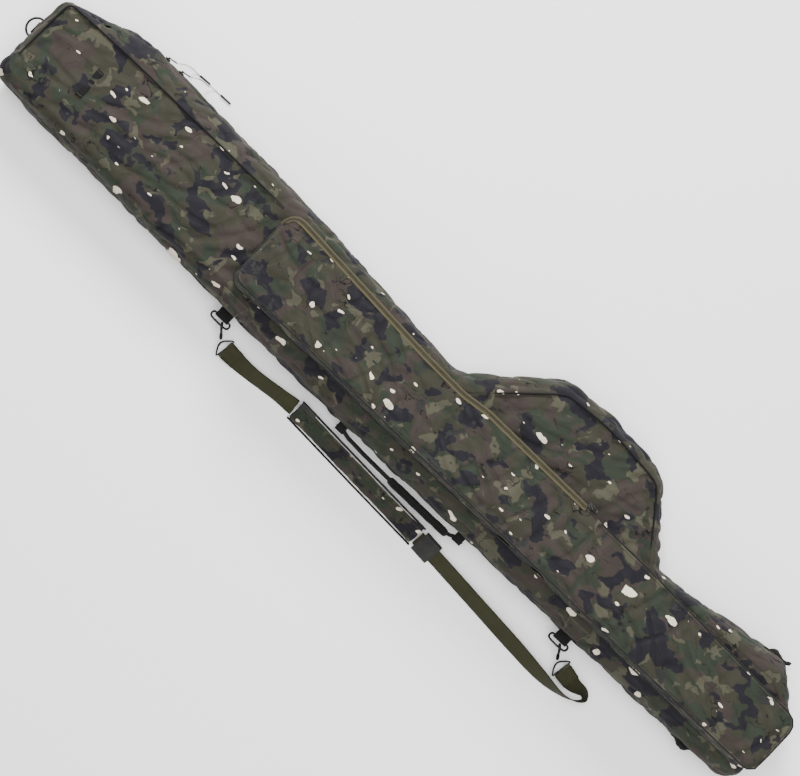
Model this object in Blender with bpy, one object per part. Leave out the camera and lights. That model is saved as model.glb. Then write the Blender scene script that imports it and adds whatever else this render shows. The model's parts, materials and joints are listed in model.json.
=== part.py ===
# Padded two-piece rod holdall, lying on its back.
# +X runs from the tip end to the butt end, +Y to the reel pouch, +Z up through the front pocket.
# The origin is the middle of the flat back, on the surface that it lies on.
import math

import bmesh
import bpy
from mathutils import Matrix, Vector

# ---- overall sizes ----
CASE_LENGTH = 1.932
HALF = CASE_LENGTH / 2
BACK_DEPTH = 0.062        # back shell, up to the zip
FRONT_DEPTH = 0.057       # front shell, from the zip to the front panel
ZIP_GAP = 0.006           # between the two shells' rims
POCKET_DEPTH = 0.050      # front pocket's gusset
PANEL_THICK = 0.004       # front pocket's panel
WALL = 0.006              # padded wall
CLEAR = 0.0003            # between pieces that touch
LOOSE = 0.0012            # between pieces that move past each other

# ---- outline across the case, at the zip and at the front panel ----
TIP_SPINE_Y = -0.108
SPINE_Y = -0.130
BUTT_SPINE_Y = -0.124
TIP_TOP_Y = 0.088
SHOULDER_X, SHOULDER_Y = -HALF + 0.166, 0.141
BEND_X, BEND_Y = -0.300, 0.118
POUCH_FOOT_TIP_X, POUCH_FOOT_TIP_Y = 0.056, 0.086
POUCH_TIP_X = 0.222
POUCH_REACH = 0.229
POUCH_BUTT_X = 0.468
POUCH_FOOT_BUTT_X, POUCH_FOOT_BUTT_Y = 0.588, 0.076
BUTT_PEAK_X, BUTT_PEAK_Y = HALF - 0.081, 0.120

# zip-plane x, y, front-panel x, y, corner radius, steps round the corner
OUTLINE = [
    (-HALF, TIP_SPINE_Y, -HALF + 0.014, TIP_SPINE_Y + 0.024, 0.030, 4),
    (-0.160, SPINE_Y, -0.160, SPINE_Y + 0.038, 0.300, 1),
    (HALF - 0.009, BUTT_SPINE_Y, HALF - 0.014, BUTT_SPINE_Y + 0.028, 0.034, 4),
    (HALF - 0.002, 0.040, HALF - 0.013, 0.045, 0.030, 2),
    (BUTT_PEAK_X, BUTT_PEAK_Y, BUTT_PEAK_X - 0.005, BUTT_PEAK_Y - 0.036, 0.030, 2),
    (POUCH_FOOT_BUTT_X, POUCH_FOOT_BUTT_Y, POUCH_FOOT_BUTT_X - 0.012, POUCH_FOOT_BUTT_Y - 0.008, 0.020, 2),
    (POUCH_BUTT_X, POUCH_REACH - 0.013, POUCH_BUTT_X + 0.008, POUCH_REACH - 0.029, 0.050, 3),
    ((POUCH_BUTT_X + POUCH_TIP_X) / 2, POUCH_REACH, (POUCH_BUTT_X + POUCH_TIP_X) / 2, POUCH_REACH - 0.016, 0.150, 1),
    (POUCH_TIP_X, POUCH_REACH - 0.007, POUCH_TIP_X + 0.010, POUCH_REACH - 0.023, 0.045, 3),
    (POUCH_FOOT_TIP_X, POUCH_FOOT_TIP_Y, POUCH_FOOT_TIP_X + 0.024, POUCH_FOOT_TIP_Y - 0.018, 0.045, 2),
    (BEND_X, BEND_Y, BEND_X, BEND_Y - 0.030, 0.300, 1),
    (SHOULDER_X, SHOULDER_Y, SHOULDER_X, SHOULDER_Y - 0.048, 0.120, 1),
    (-HALF + 0.006, TIP_TOP_Y, -HALF + 0.018, TIP_TOP_Y + 0.002, 0.018, 3),
]
SPINE_CORNER = 2          # the row whose corner ends the spine side

# ---- heights ----
RIM_LOW = BACK_DEPTH
RIM_HIGH = BACK_DEPTH + ZIP_GAP
ZIP_Z = BACK_DEPTH + ZIP_GAP / 2
FRONT_Z = RIM_HIGH + FRONT_DEPTH
POCKET_BASE_Z = FRONT_Z + CLEAR
POCKET_TOP_Z = POCKET_BASE_Z + POCKET_DEPTH
PANEL_Z = POCKET_TOP_Z + CLEAR

# ---- front pocket: panel x, y, how far the gusset's foot lies outside it in x and y, radius, steps ----
POCKET_TIP_X = -0.368
POCKET_SPINE_Y = -0.084
POCKET_TIP_Y = 0.088
POCKET_DIP_Y = 0.061
POCKET_POUCH_Y = 0.068
POCKET_WALL = 0.004
POCKET_OUTLINE = [
    (POCKET_TIP_X, POCKET_SPINE_Y + 0.006, -0.006, -0.006, 0.022, 4),
    (HALF - 0.004, POCKET_SPINE_Y, -0.013, -0.008, 0.022, 4),
    (HALF - 0.004, 0.050, -0.013, -0.004, 0.030, 3),
    (0.560, 0.064, 0.0, -0.002, 0.100, 1),
    (0.150, POCKET_POUCH_Y, 0.0, -0.004, 0.060, 1),
    (0.092, POCKET_DIP_Y, 0.0, -0.001, 0.060, 1),
    (-0.010, POCKET_DIP_Y + 0.003, 0.0, 0.006, 0.100, 1),
    (POCKET_TIP_X, POCKET_TIP_Y, -0.006, -0.001, 0.026, 4),
]
FOLD_END_X = 0.430        # where the pocket's zip ends, on the pouch side
FOLD_SPLIT = 0.0006       # between the loose corner and the panel it folds on
TAPE_WIDTH = 0.014
TAPE_THICK = 0.0016
TAPE_OUT = 0.0012         # the rim tape stands this far off the gusset

# ---- zips ----
CHAIN_SET_BACK = 0.0012
CHAIN_WIDTH = 0.0040
CHAIN_HEIGHT = 0.0017
SLIDER_LENGTH = 0.011
SLIDER_HALF_HEIGHT = 0.0052
SLIDER_PLATE = 0.0020
SLIDER_POST = 0.0014
SLIDER_A_X = SHOULDER_X + 0.052
SLIDER_B_X = SHOULDER_X + 0.088
POCKET_SLIDER_X = 0.405
CROWN_SIZE = 0.0036
PULL_WIRE = 0.0008
PULL_LENGTH = 0.017
CORD_DIAMETER = 0.0022
CORD_TUBE_LENGTH = 0.026
CORD_TUBE_RADIUS = 0.0022

# ---- carrying handle ----
HANDLE_Z = 0.046
HANDLE_TIP_X = -0.030
HANDLE_BUTT_X = 0.276
HANDLE_PIVOT_Y = -0.1405
HANDLE_REACH = 0.0075     # how far the grip stands out from the pivots
HANDLE_ROPE = 0.0040
HANDLE_EYE = 0.0046
ANCHOR_LENGTH = 0.020
ANCHOR_HALF = 0.0075
GRIP_TIP_X = 0.104
GRIP_BUTT_X = 0.252
GRIP_RADIUS = 0.0085

# ---- shoulder strap ----
STRAP_PIVOT_Y = -0.142
STRAP_PIVOT_Z = 0.046
STRAP_TIP_X = -0.337
STRAP_BUTT_X = 0.548
RING_WIRE = 0.0022
RING_WIDTH = 0.044
RING_DEPTH = 0.016
RING_DROP = 25.0          # degrees that the rings point down
TAB_LENGTH = 0.030
TAB_HALF = 0.0060
TAB_EYE = 0.0032
HOOK_WIRE = 0.0024
HOOK_BOW = 0.0075
HOOK_LENGTH = 0.030
HOOK_AIM = (0.50, -0.66, -0.56)
LOOP_LENGTH = 0.016
LOOP_WIRE = 0.0018
EYE_GAP = 0.0036           # the swivel, between a hook's barrel and its loop
STRAP_WIDTH = 0.038
STRAP_THICK = 0.0020
PAD_WIDTH = 0.056
PAD_THICK = 0.010
BUCKLE_LENGTH = 0.040
BUCKLE_FRAME = 0.006

# ---- top hanging ring ----
TOP_RING_Y = 0.011
TOP_RING_Z = 0.040
TOP_RING_RADIUS = 0.021
TOP_RING_WIRE = 0.0022

# ---- inside ----
DIVIDER_THICK = 0.004
DIVIDER_EDGE = 0.016      # in from the zip outline
ROD_STRAP_WIDTH = 0.030
ROD_STRAP_THICK = 0.003
END_PAD_THICK = 0.018

for old in list(bpy.data.objects):
    bpy.data.objects.remove(old, do_unlink=True)


def finish(name, colour, roughness, metallic=0.0):
    """A plain Principled material, made once for each name."""
    material = bpy.data.materials.get(name)
    if material is None:
        material = bpy.data.materials.new(name)
        material.use_nodes = True
        shader = material.node_tree.nodes["Principled BSDF"]
        shader.inputs["Base Color"].default_value = (*colour, 1.0)
        shader.inputs["Roughness"].default_value = roughness
        shader.inputs["Metallic"].default_value = metallic
    return material


CAMO = finish("camo_fabric", (0.105, 0.095, 0.068), 0.85)
LINING = finish("lining_fabric", (0.020, 0.021, 0.020), 0.90)
WEBBING = finish("olive_webbing", (0.066, 0.066, 0.036), 0.80)
TAPE = finish("zip_tape", (0.100, 0.084, 0.044), 0.80)
BINDING = finish("black_binding", (0.012, 0.012, 0.012), 0.75)
METAL = finish("black_metal", (0.015, 0.015, 0.016), 0.35, 1.0)
PLASTIC = finish("black_plastic", (0.014, 0.014, 0.015), 0.45)
GRIP = finish("black_foam", (0.013, 0.013, 0.013), 0.85)
CORD = finish("grey_cord", (0.520, 0.520, 0.500), 0.70)


def add_mesh(name, points, faces, material, smooth=False):
    """One closed solid, with its faces pointing out."""
    mesh = bpy.data.meshes.new(name)
    mesh.from_pydata([tuple(p) for p in points], [], faces)
    shape = bmesh.new()
    shape.from_mesh(mesh)
    bmesh.ops.recalc_face_normals(shape, faces=shape.faces)
    shape.to_mesh(mesh)
    shape.free()
    if smooth:
        mesh.shade_smooth()
        mesh.set_sharp_from_angle(angle=math.radians(40))
    mesh.materials.append(material)
    obj = bpy.data.objects.new(name, mesh)
    bpy.context.scene.collection.objects.link(obj)
    return obj


def joint_at(name, pivot, pieces):
    """An empty on a joint's axis, with the pieces that turn or slide there parented to it."""
    empty = bpy.data.objects.new(name, None)
    empty.location = pivot
    bpy.context.scene.collection.objects.link(empty)
    for piece in pieces:
        piece.parent = empty
        piece.matrix_parent_inverse = Matrix.Translation(-Vector(pivot))
    return empty


def rounded_loop(corners):
    """Corner rows (x, y, radius, steps) to a closed outline with filleted corners."""
    loop = []
    count = len(corners)
    for i, (x, y, radius, steps) in enumerate(corners):
        here = Vector((x, y))
        back = (Vector(corners[i - 1][:2]) - here).normalized()
        ahead = (Vector(corners[(i + 1) % count][:2]) - here).normalized()
        half = back.angle(ahead) / 2
        reach = radius / math.tan(half)
        centre = here + (back + ahead).normalized() * radius / math.sin(half)
        first = here + back * reach - centre
        last = here + ahead * reach - centre
        turn = first.angle_signed(last)
        for k in range(steps + 1):
            angle = -turn * k / steps
            c, s = math.cos(angle), math.sin(angle)
            loop.append(centre + Vector((first.x * c - first.y * s, first.x * s + first.y * c)))
    return loop


def inset(loop, distance):
    """The same outline moved inwards."""
    moved = []
    count = len(loop)
    for i, here in enumerate(loop):
        a = (here - loop[i - 1]).normalized()
        b = (loop[(i + 1) % count] - here).normalized()
        normal = Vector((-a.y - b.y, a.x + b.x)).normalized()
        stretch = 1 / max(0.5, normal.dot(Vector((-a.y, a.x))))
        moved.append(here + normal * distance * stretch)
    return moved


def mix(one, other, share):
    return [p.lerp(q, share) for p, q in zip(one, other)]


def at_height(loop, z):
    return [Vector((p.x, p.y, z)) for p in loop]


def loft(name, rings, material, smooth=False, split=False):
    """Closed rings joined one to the next, with the first and last capped.

    split halves each twisted face, the same way on both sides of a strap."""
    size = len(rings[0])
    points = [p for ring in rings for p in ring]
    faces = [tuple(range(size)), tuple(range(len(points) - size, len(points)))]
    for r in range(len(rings) - 1):
        for i in range(size):
            j = (i + 1) % size
            near_a, near_b, far_b, far_a = r * size + i, r * size + j, (r + 1) * size + j, (r + 1) * size + i
            if split and i < size / 2:
                faces += [(near_a, near_b, far_b), (near_a, far_b, far_a)]
            elif split:
                faces += [(near_a, near_b, far_a), (near_b, far_b, far_a)]
            else:
                faces.append((near_a, near_b, far_b, far_a))
    return add_mesh(name, points, faces, material, smooth)


def hoop(name, rings, material):
    """Closed rings joined one to the next and the last to the first: a wall with no caps."""
    size = len(rings[0])
    points = [p for ring in rings for p in ring]
    faces = []
    for r in range(len(rings)):
        s = (r + 1) % len(rings)
        for i in range(size):
            j = (i + 1) % size
            faces.append((r * size + i, r * size + j, s * size + j, s * size + i))
    return add_mesh(name, points, faces, material)


def box(name, low, high, material):
    rings = []
    for z in (low[2], high[2]):
        rings.append([Vector((low[0], low[1], z)), Vector((high[0], low[1], z)),
                      Vector((high[0], high[1], z)), Vector((low[0], high[1], z))])
    return loft(name, rings, material)


def smooth_path(points, steps):
    """Catmull-Rom curve through the points; any extra columns are carried along."""
    rows = [Vector(p) for p in points]
    rows = [rows[0] * 2 - rows[1]] + rows + [rows[-1] * 2 - rows[-2]]
    path = []
    for i in range(1, len(rows) - 2):
        a, b, c, d = rows[i - 1:i + 3]
        for k in range(steps):
            t = k / steps
            path.append(0.5 * (2 * b + (c - a) * t + (2 * a - 5 * b + 4 * c - d) * t * t
                               + (3 * b - a - 3 * c + d) * t * t * t))
    path.append(rows[-2])
    return path


def tube(name, points, radius, material, closed=False, resolution=2, swell=None):
    """Round wire along the points; swell scales the radius at each of them."""
    curve = bpy.data.curves.new(name, "CURVE")
    curve.dimensions = "3D"
    curve.bevel_depth = radius
    curve.bevel_resolution = resolution
    curve.use_fill_caps = True
    spline = curve.splines.new("POLY")
    spline.points.add(len(points) - 1)
    for i, p in enumerate(points):
        spline.points[i].co = (*tuple(p)[:3], 1.0)
        spline.points[i].radius = swell[i] if swell else 1.0
    spline.use_cyclic_u = closed
    curve.materials.append(material)
    obj = bpy.data.objects.new(name, curve)
    bpy.context.scene.collection.objects.link(obj)
    return obj


def band(name, route, width, thick, material):
    """A flat strap along (x, y, z, tilt): tilt 0 lies flat, 90 degrees stands on edge."""
    rings = []
    for i, row in enumerate(route):
        here = Vector(row[:3])
        back = Vector(route[max(i - 1, 0)][:3])
        ahead = Vector(route[min(i + 1, len(route) - 1)][:3])
        along = (ahead - back).normalized()
        level = Vector((-along.y, along.x, 0)).normalized()
        upright = along.cross(level) * -1 if along.cross(level).z < 0 else along.cross(level)
        tilt = math.radians(row[3])
        across = level * math.cos(tilt) + upright * math.sin(tilt)
        face = along.cross(across).normalized()
        w, t = across * width / 2, face * thick / 2
        rings.append([here - w - t, here + w - t, here + w + t, here - w + t])
    return loft(name, rings, material, split=True)


# ---- outlines ----
ZIP_LOOP = rounded_loop([(row[0], row[1], row[4], row[5]) for row in OUTLINE])
FRONT_LOOP = rounded_loop([(row[2], row[3], row[4], row[5]) for row in OUTLINE])
SPINE_END = sum(row[5] + 1 for row in OUTLINE[:SPINE_CORNER + 1]) - 1


# ---- back shell ----
loft("back_shell", [
    at_height(inset(ZIP_LOOP, 0.013), 0.0),
    at_height(inset(ZIP_LOOP, 0.004), 0.014),
    at_height(ZIP_LOOP, BACK_DEPTH * 0.7),
    at_height(ZIP_LOOP, RIM_LOW),
    at_height(inset(ZIP_LOOP, WALL), RIM_LOW),
    at_height(inset(ZIP_LOOP, WALL + 0.004), 0.022),
    at_height(inset(ZIP_LOOP, WALL + 0.014), WALL),
], CAMO)

# ---- front shell ----
front_shell = loft("front_shell", [
    at_height(FRONT_LOOP, FRONT_Z),
    at_height(mix(FRONT_LOOP, ZIP_LOOP, 0.45), FRONT_Z - 0.010),
    at_height(mix(FRONT_LOOP, ZIP_LOOP, 0.85), FRONT_Z - 0.030),
    at_height(ZIP_LOOP, RIM_HIGH),
    at_height(inset(ZIP_LOOP, WALL), RIM_HIGH),
    at_height(inset(mix(FRONT_LOOP, ZIP_LOOP, 0.75), WALL), FRONT_Z - 0.030),
    at_height(inset(FRONT_LOOP, WALL), FRONT_Z - WALL),
], CAMO)


# ---- main zip: a row of teeth on each shell's rim, round all but the spine ----
def zip_row(name, low, high):
    outer = inset(ZIP_LOOP, CHAIN_SET_BACK)
    inner = inset(ZIP_LOOP, CHAIN_SET_BACK + CHAIN_WIDTH)
    rings = []
    for i in list(range(SPINE_END, len(ZIP_LOOP))) + [0]:
        a, b = outer[i], inner[i]
        rings.append([Vector((a.x, a.y, low)), Vector((a.x, a.y, high)),
                      Vector((b.x, b.y, high)), Vector((b.x, b.y, low))])
    return loft(name, rings, BINDING)


zip_row("zip_teeth_back", RIM_LOW + CLEAR, RIM_LOW + CLEAR + CHAIN_HEIGHT)
front_teeth = zip_row("zip_teeth_front", RIM_HIGH - CLEAR - CHAIN_HEIGHT, RIM_HIGH - CLEAR)

# ---- spine: the lid turns on the fabric between these two strips ----
HINGE_Y = SPINE_Y - 0.004
SPINE_STRIP = 0.0016


def spine_strip(name, rows):
    """A strip sewn on the outside of the spine wall, from one height to the other."""
    rings = []
    for x in (-HALF + 0.346, -0.160, HALF - 0.146):
        ends = (-HALF, TIP_SPINE_Y) if x < -0.160 else (HALF, BUTT_SPINE_Y)
        share = (x + 0.160) / (ends[0] + 0.160)
        y = SPINE_Y + (ends[1] - SPINE_Y) * share - CLEAR - 0.0003
        rings.append([Vector((x, y, rows[0])), Vector((x, y, rows[1])),
                      Vector((x, y - SPINE_STRIP, rows[1])), Vector((x, y - SPINE_STRIP, rows[0]))])
    return loft(name, rings, CAMO)


spine_strip("spine_strip_back", (RIM_LOW - 0.0075, RIM_LOW - 0.0005))
front_strip = spine_strip("spine_strip_front", (RIM_HIGH + 0.0005, RIM_HIGH + 0.006))

# ---- inside: padded divider leaf, rod straps, end pads ----
DIVIDER_TOP = RIM_LOW - 0.0025
MAIN_TOP_Y = 0.064
divider_loop = []
for p in inset(ZIP_LOOP, DIVIDER_EDGE):
    divider_loop.append(Vector((max(min(p.x, HALF - 0.034), -HALF + 0.034), min(p.y, MAIN_TOP_Y))))
clean_loop = []
for i, p in enumerate(divider_loop):
    a = (p - divider_loop[i - 1])
    if a.length > 1e-5:
        clean_loop.append(p)
straight_loop = []
for i, p in enumerate(clean_loop):
    a = (p - clean_loop[i - 1]).normalized()
    b = (clean_loop[(i + 1) % len(clean_loop)] - p).normalized()
    if a.dot(b) < 0.99999:
        straight_loop.append(p)
divider = loft("divider_leaf", [at_height(straight_loop, DIVIDER_TOP - DIVIDER_THICK),
                                at_height(straight_loop, DIVIDER_TOP)], LINING)
leaf_pieces = [divider]
for name, x in (("leaf_strap_tip", -0.55), ("leaf_strap_butt", 0.42)):
    strap = box(name, (x - ROD_STRAP_WIDTH / 2, -0.088, DIVIDER_TOP + CLEAR),
                (x + ROD_STRAP_WIDTH / 2, MAIN_TOP_Y - 0.006, DIVIDER_TOP + CLEAR + ROD_STRAP_THICK), LINING)
    leaf_pieces.append(strap)
joint_at("divider_axis", (0, HINGE_Y, ZIP_Z), leaf_pieces)
for name, x in (("rod_strap_tip", -HALF + 0.346), ("rod_strap_middle", 0.02), ("rod_strap_butt", HALF - 0.306)):
    box(name, (x - ROD_STRAP_WIDTH / 2, -0.085, WALL + CLEAR),
        (x + ROD_STRAP_WIDTH / 2, 0.050, WALL + CLEAR + ROD_STRAP_THICK), LINING)
box("tip_end_pad", (-HALF + 0.026, -0.070, WALL + CLEAR),
    (-HALF + 0.026 + END_PAD_THICK, 0.046, DIVIDER_TOP - DIVIDER_THICK - LOOSE), LINING)
box("butt_end_pad", (HALF - 0.034 - END_PAD_THICK, -0.080, WALL + CLEAR),
    (HALF - 0.034, 0.020, DIVIDER_TOP - DIVIDER_THICK - LOOSE), LINING)

# ---- front pocket ----
POCKET_LOOP = rounded_loop([(row[0], row[1], row[4], row[5]) for row in POCKET_OUTLINE])
FOOT_LOOP = rounded_loop([(row[0] + row[2], row[1] + row[3], row[4], row[5]) for row in POCKET_OUTLINE])
lid_pieces = [front_shell, front_teeth, front_strip]
lid_pieces.append(hoop("pocket_gusset", [
    at_height(FOOT_LOOP, POCKET_BASE_Z),
    at_height(POCKET_LOOP, POCKET_TOP_Z),
    at_height(inset(POCKET_LOOP, POCKET_WALL), POCKET_TOP_Z),
    at_height(inset(FOOT_LOOP, POCKET_WALL), POCKET_BASE_Z),
], CAMO))


def row_start(rows, index):
    """Where a corner row's first point is in its outline."""
    return sum(row[5] + 1 for row in rows[:index])


# The zip runs from the tip end's spine corner round to FOLD_END_X, and frees a three-sided corner.
before = POCKET_LOOP[row_start(POCKET_OUTLINE, 4) - 1]
after = POCKET_LOOP[row_start(POCKET_OUTLINE, 4)]
share = (before.x - FOLD_END_X) / (before.x - after.x)
FOLD_END = before.lerp(after, share)
FOLD_START = POCKET_LOOP[0]
fold_along = (FOLD_END - FOLD_START).normalized()
fold_normal = Vector((-fold_along.y, fold_along.x))
split = fold_normal * FOLD_SPLIT
zip_edge = [FOLD_END] + POCKET_LOOP[row_start(POCKET_OUTLINE, 4):] + [FOLD_START]
loose_corner = [FOLD_END + split] + zip_edge[1:-1] + [FOLD_START + split]
fixed_panel = POCKET_LOOP[:row_start(POCKET_OUTLINE, 4)] + [FOLD_END]
PANEL_TOP = PANEL_Z + PANEL_THICK
lid_pieces.append(loft("pocket_panel", [at_height(fixed_panel, PANEL_Z), at_height(fixed_panel, PANEL_TOP)], CAMO))
flap = loft("pocket_flap", [at_height(loose_corner, PANEL_Z), at_height(loose_corner, PANEL_TOP)], CAMO)


def from_fold(p):
    return (Vector((p[0], p[1])) - FOLD_START).dot(fold_normal)


def tape(name, path, near, far, low, high, low_share=0.0, fold_gap=None):
    """A strip of zip tape along the pocket's edge, between two distances from it and two heights.

    fold_gap is how far its first end stays on the loose side of the fold line."""
    a_loop = inset(POCKET_LOOP, near)
    b_loop = inset(POCKET_LOOP, far)
    foot_a = inset(mix(POCKET_LOOP, FOOT_LOOP, low_share), near)
    foot_b = inset(mix(POCKET_LOOP, FOOT_LOOP, low_share), far)
    rings = []
    for i in path:
        ring = [at_height(foot_a, low)[i], at_height(a_loop, high)[i], at_height(b_loop, high)[i], at_height(foot_b, low)[i]]
        rings.append(ring)
    first = path[0] - 1
    ring = [at_height(foot_a, low)[first], at_height(a_loop, high)[first], at_height(b_loop, high)[first],
            at_height(foot_b, low)[first]]
    start = [p.lerp(q, share) for p, q in zip(ring, rings[0])]
    if fold_gap is not None:
        start = [p.lerp(q, max(0.0, (fold_gap - from_fold(p)) / (from_fold(q) - from_fold(p))))
                 for p, q in zip(start, rings[0])]
    return loft(name, [start] + rings, TAPE)


tape_path = list(range(row_start(POCKET_OUTLINE, 4), len(POCKET_LOOP)))
flap_tape = tape("pocket_tape_flap", tape_path, 0.001, 0.001 + TAPE_WIDTH / 2,
                 PANEL_TOP + CLEAR, PANEL_TOP + CLEAR + TAPE_THICK, fold_gap=0.0030)
rim_height = TAPE_WIDTH / 2
lid_pieces.append(tape("pocket_tape_rim", tape_path, -TAPE_OUT - TAPE_THICK, -TAPE_OUT,
                       POCKET_TOP_Z - rim_height, POCKET_TOP_Z, rim_height / POCKET_DEPTH))
joint_at("flap_axis", (FOLD_START.x, FOLD_START.y, PANEL_TOP), [flap, flap_tape])

# ---- bindings and the loop sewn on the front ----
BINDING_RADIUS = 0.002
binding_z = FRONT_Z + CLEAR + BINDING_RADIUS
edge = inset(FRONT_LOOP, 0.004)
shoulder = row_start(OUTLINE, 11)
bend_end = edge[shoulder - 1]
start_x = POCKET_TIP_X - 0.012
share = (bend_end.x - start_x) / (bend_end.x - edge[shoulder].x)
tip_run = [bend_end.lerp(edge[shoulder], share)] + edge[shoulder:] + [edge[0]]
lid_pieces.append(tube("tip_binding", at_height(tip_run, binding_z), BINDING_RADIUS, BINDING))
pouch_edge = inset(FRONT_LOOP, 0.008)
pouch_run = pouch_edge[row_start(OUTLINE, 6):row_start(OUTLINE, 9)]
foot_a = pouch_edge[row_start(OUTLINE, 6) - 1].lerp(pouch_run[0], 0.25)
foot_b = pouch_edge[row_start(OUTLINE, 9)].lerp(pouch_run[-1], 0.25)
lid_pieces.append(tube("pouch_binding", at_height([foot_a] + pouch_run + [foot_b], binding_z), BINDING_RADIUS, BINDING))
lid_pieces.append(box("front_loop", (-HALF + 0.146, -0.030, FRONT_Z + CLEAR), (-HALF + 0.160, 0.033, FRONT_Z + CLEAR + 0.0024), WEBBING))
joint_at("lid_axis", (0, HINGE_Y, ZIP_Z), lid_pieces)


# ---- zip sliders ----
def slider(name, profile, length, crown, place, material):
    """A profile in the local YZ plane run along X, with a crown for the pull raised on its last face."""
    rings = [[Vector((x, p[0], p[1])) for p in profile] for x in (-length / 2, length / 2)]
    obj = loft(name, rings, material)
    shape = bmesh.new()
    shape.from_mesh(obj.data)
    top = max(shape.faces, key=lambda face: face.calc_center_median().y)
    rim = (SLIDER_HALF_HEIGHT * 2 - CROWN_SIZE) / 2
    bmesh.ops.inset_individual(shape, faces=[top], thickness=rim, use_even_offset=True)
    raised = bmesh.ops.extrude_discrete_faces(shape, faces=[top])["faces"]
    bmesh.ops.translate(shape, verts=list(raised[0].verts), vec=(0, crown, 0))
    shape.to_mesh(obj.data)
    shape.free()
    obj.data.transform(place)
    return obj


def pull(name, place, turn, material):
    """A U of wire whose legs pass either side of the crown."""
    z = CROWN_SIZE / 2 + CLEAR + PULL_WIRE
    points = [(-0.001, 0, z), (PULL_LENGTH - 0.002, 0, z), (PULL_LENGTH, 0, z - 0.0012),
              (PULL_LENGTH, 0, -z + 0.0012), (PULL_LENGTH - 0.002, 0, -z), (-0.001, 0, -z)]
    turned = place @ Matrix.Translation((0, PULL_Y, 0)) @ Matrix.Rotation(turn, 4, "Z")
    return tube(name, [turned @ Vector(p) for p in points], PULL_WIRE, material, resolution=1)


PLATE_IN = 0.0006
PLATE_OUT = PLATE_IN + SLIDER_PLATE
INNER_FACE = -WALL - LOOSE
PULL_Y = PLATE_OUT + PULL_WIRE + 0.0010
h = SLIDER_HALF_HEIGHT
w = SLIDER_POST / 2
H_PROFILE = [(PLATE_OUT, h), (PLATE_IN, h), (PLATE_IN, w), (INNER_FACE, w), (INNER_FACE, h), (INNER_FACE - 0.0018, h),
             (INNER_FACE - 0.0018, -h), (INNER_FACE, -h), (INNER_FACE, -w), (PLATE_IN, -w), (PLATE_IN, -h), (PLATE_OUT, -h)]
PULL_TURN = math.radians(12)
zip_angle = math.atan2(BEND_Y - SHOULDER_Y, BEND_X - SHOULDER_X)
# each cord: along the zip, outwards, and down from the end of its pull
CORD_ROUTES = {
    "a": (SLIDER_A_X, [(0.0, 0.0, 0.0), (0.005, 0.003, -0.002), (0.010, 0.007, -0.011), (0.014, 0.010, -0.026),
                       (0.018, 0.012, -0.042), (0.024, 0.013, -0.056), (0.032, 0.012, -0.0630), (0.040, 0.011, -0.0637)]),
    "b": (SLIDER_B_X, [(0.0, 0.0, 0.0), (0.005, 0.003, -0.002), (0.010, 0.006, -0.011), (0.016, 0.009, -0.026),
                       (0.023, 0.011, -0.042), (0.032, 0.012, -0.056), (0.044, 0.012, -0.0630), (0.058, 0.010, -0.0637)]),
}
for letter, (x, route) in CORD_ROUTES.items():
    y = SHOULDER_Y + (x - SHOULDER_X) * math.tan(zip_angle)
    place = Matrix.Translation((x, y, ZIP_Z)) @ Matrix.Rotation(zip_angle, 4, "Z")
    body = slider("main_slider_" + letter, H_PROFILE, SLIDER_LENGTH, 0.0036, place, METAL)
    joint_at("slider_axis_" + letter, (x, y, ZIP_Z), [body])
    wire = pull("main_pull_" + letter, place, PULL_TURN, METAL)
    end = place @ Matrix.Translation((0, PULL_Y, 0)) @ Matrix.Rotation(PULL_TURN, 4, "Z") @ \
        Matrix.Translation((PULL_LENGTH + PULL_WIRE + CLEAR, 0, 0))
    points = [end @ Vector(p) for p in smooth_path(route, 3)]
    cord = tube("pull_cord_" + letter, points, CORD_DIAMETER / 2, CORD)
    along = (points[-1] - points[-2]).normalized()
    along.z = 0
    first = points[-1] + along * CLEAR
    first.z = points[-1].z + CORD_TUBE_RADIUS - CORD_DIAMETER / 2
    grip = tube("cord_grip_" + letter, [first, first + along * CORD_TUBE_LENGTH], CORD_TUBE_RADIUS, PLASTIC)
    joint_at("pull_axis_" + letter, place @ Vector((0, PULL_Y, 0)), [wire, cord, grip])

# The pocket's slider sits just outside the panel's edge, clear of the loose corner; its local Y points up.
pocket_angle = math.atan2(after.y - before.y, after.x - before.x)
slider_y = before.y + (POCKET_SLIDER_X - before.x) * (after.y - before.y) / (after.x - before.x)
slider_y += SLIDER_HALF_HEIGHT + LOOSE + 0.0010
slider_z = PANEL_TOP + CLEAR + TAPE_THICK + 0.0006
lying = Matrix.Rotation(math.pi / 2, 4, "X")
pocket_place = Matrix.Translation((POCKET_SLIDER_X, slider_y, slider_z)) @ \
    Matrix.Rotation(pocket_angle - math.pi, 4, "Z") @ lying
plate = [(SLIDER_PLATE, h), (0.0, h), (0.0, -h), (SLIDER_PLATE, -h)]
pocket_slider = slider("pocket_slider", plate, SLIDER_LENGTH, 0.0036, pocket_place, METAL)
joint_at("pocket_slider_axis", (POCKET_SLIDER_X, slider_y, slider_z), [pocket_slider])
lift = Matrix.Translation((0, SLIDER_PLATE - PLATE_OUT, 0))
pocket_pull = pull("pocket_pull", pocket_place @ lift, math.radians(6), METAL)
joint_at("pocket_pull_axis", pocket_place @ lift @ Vector((0, PULL_Y, 0)), [pocket_pull])


# ---- eyes and rings ----
def circle(radius, count, start=0.0):
    return [(radius * math.cos(start + 2 * math.pi * k / count), radius * math.sin(start + 2 * math.pi * k / count))
            for k in range(count)]


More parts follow.
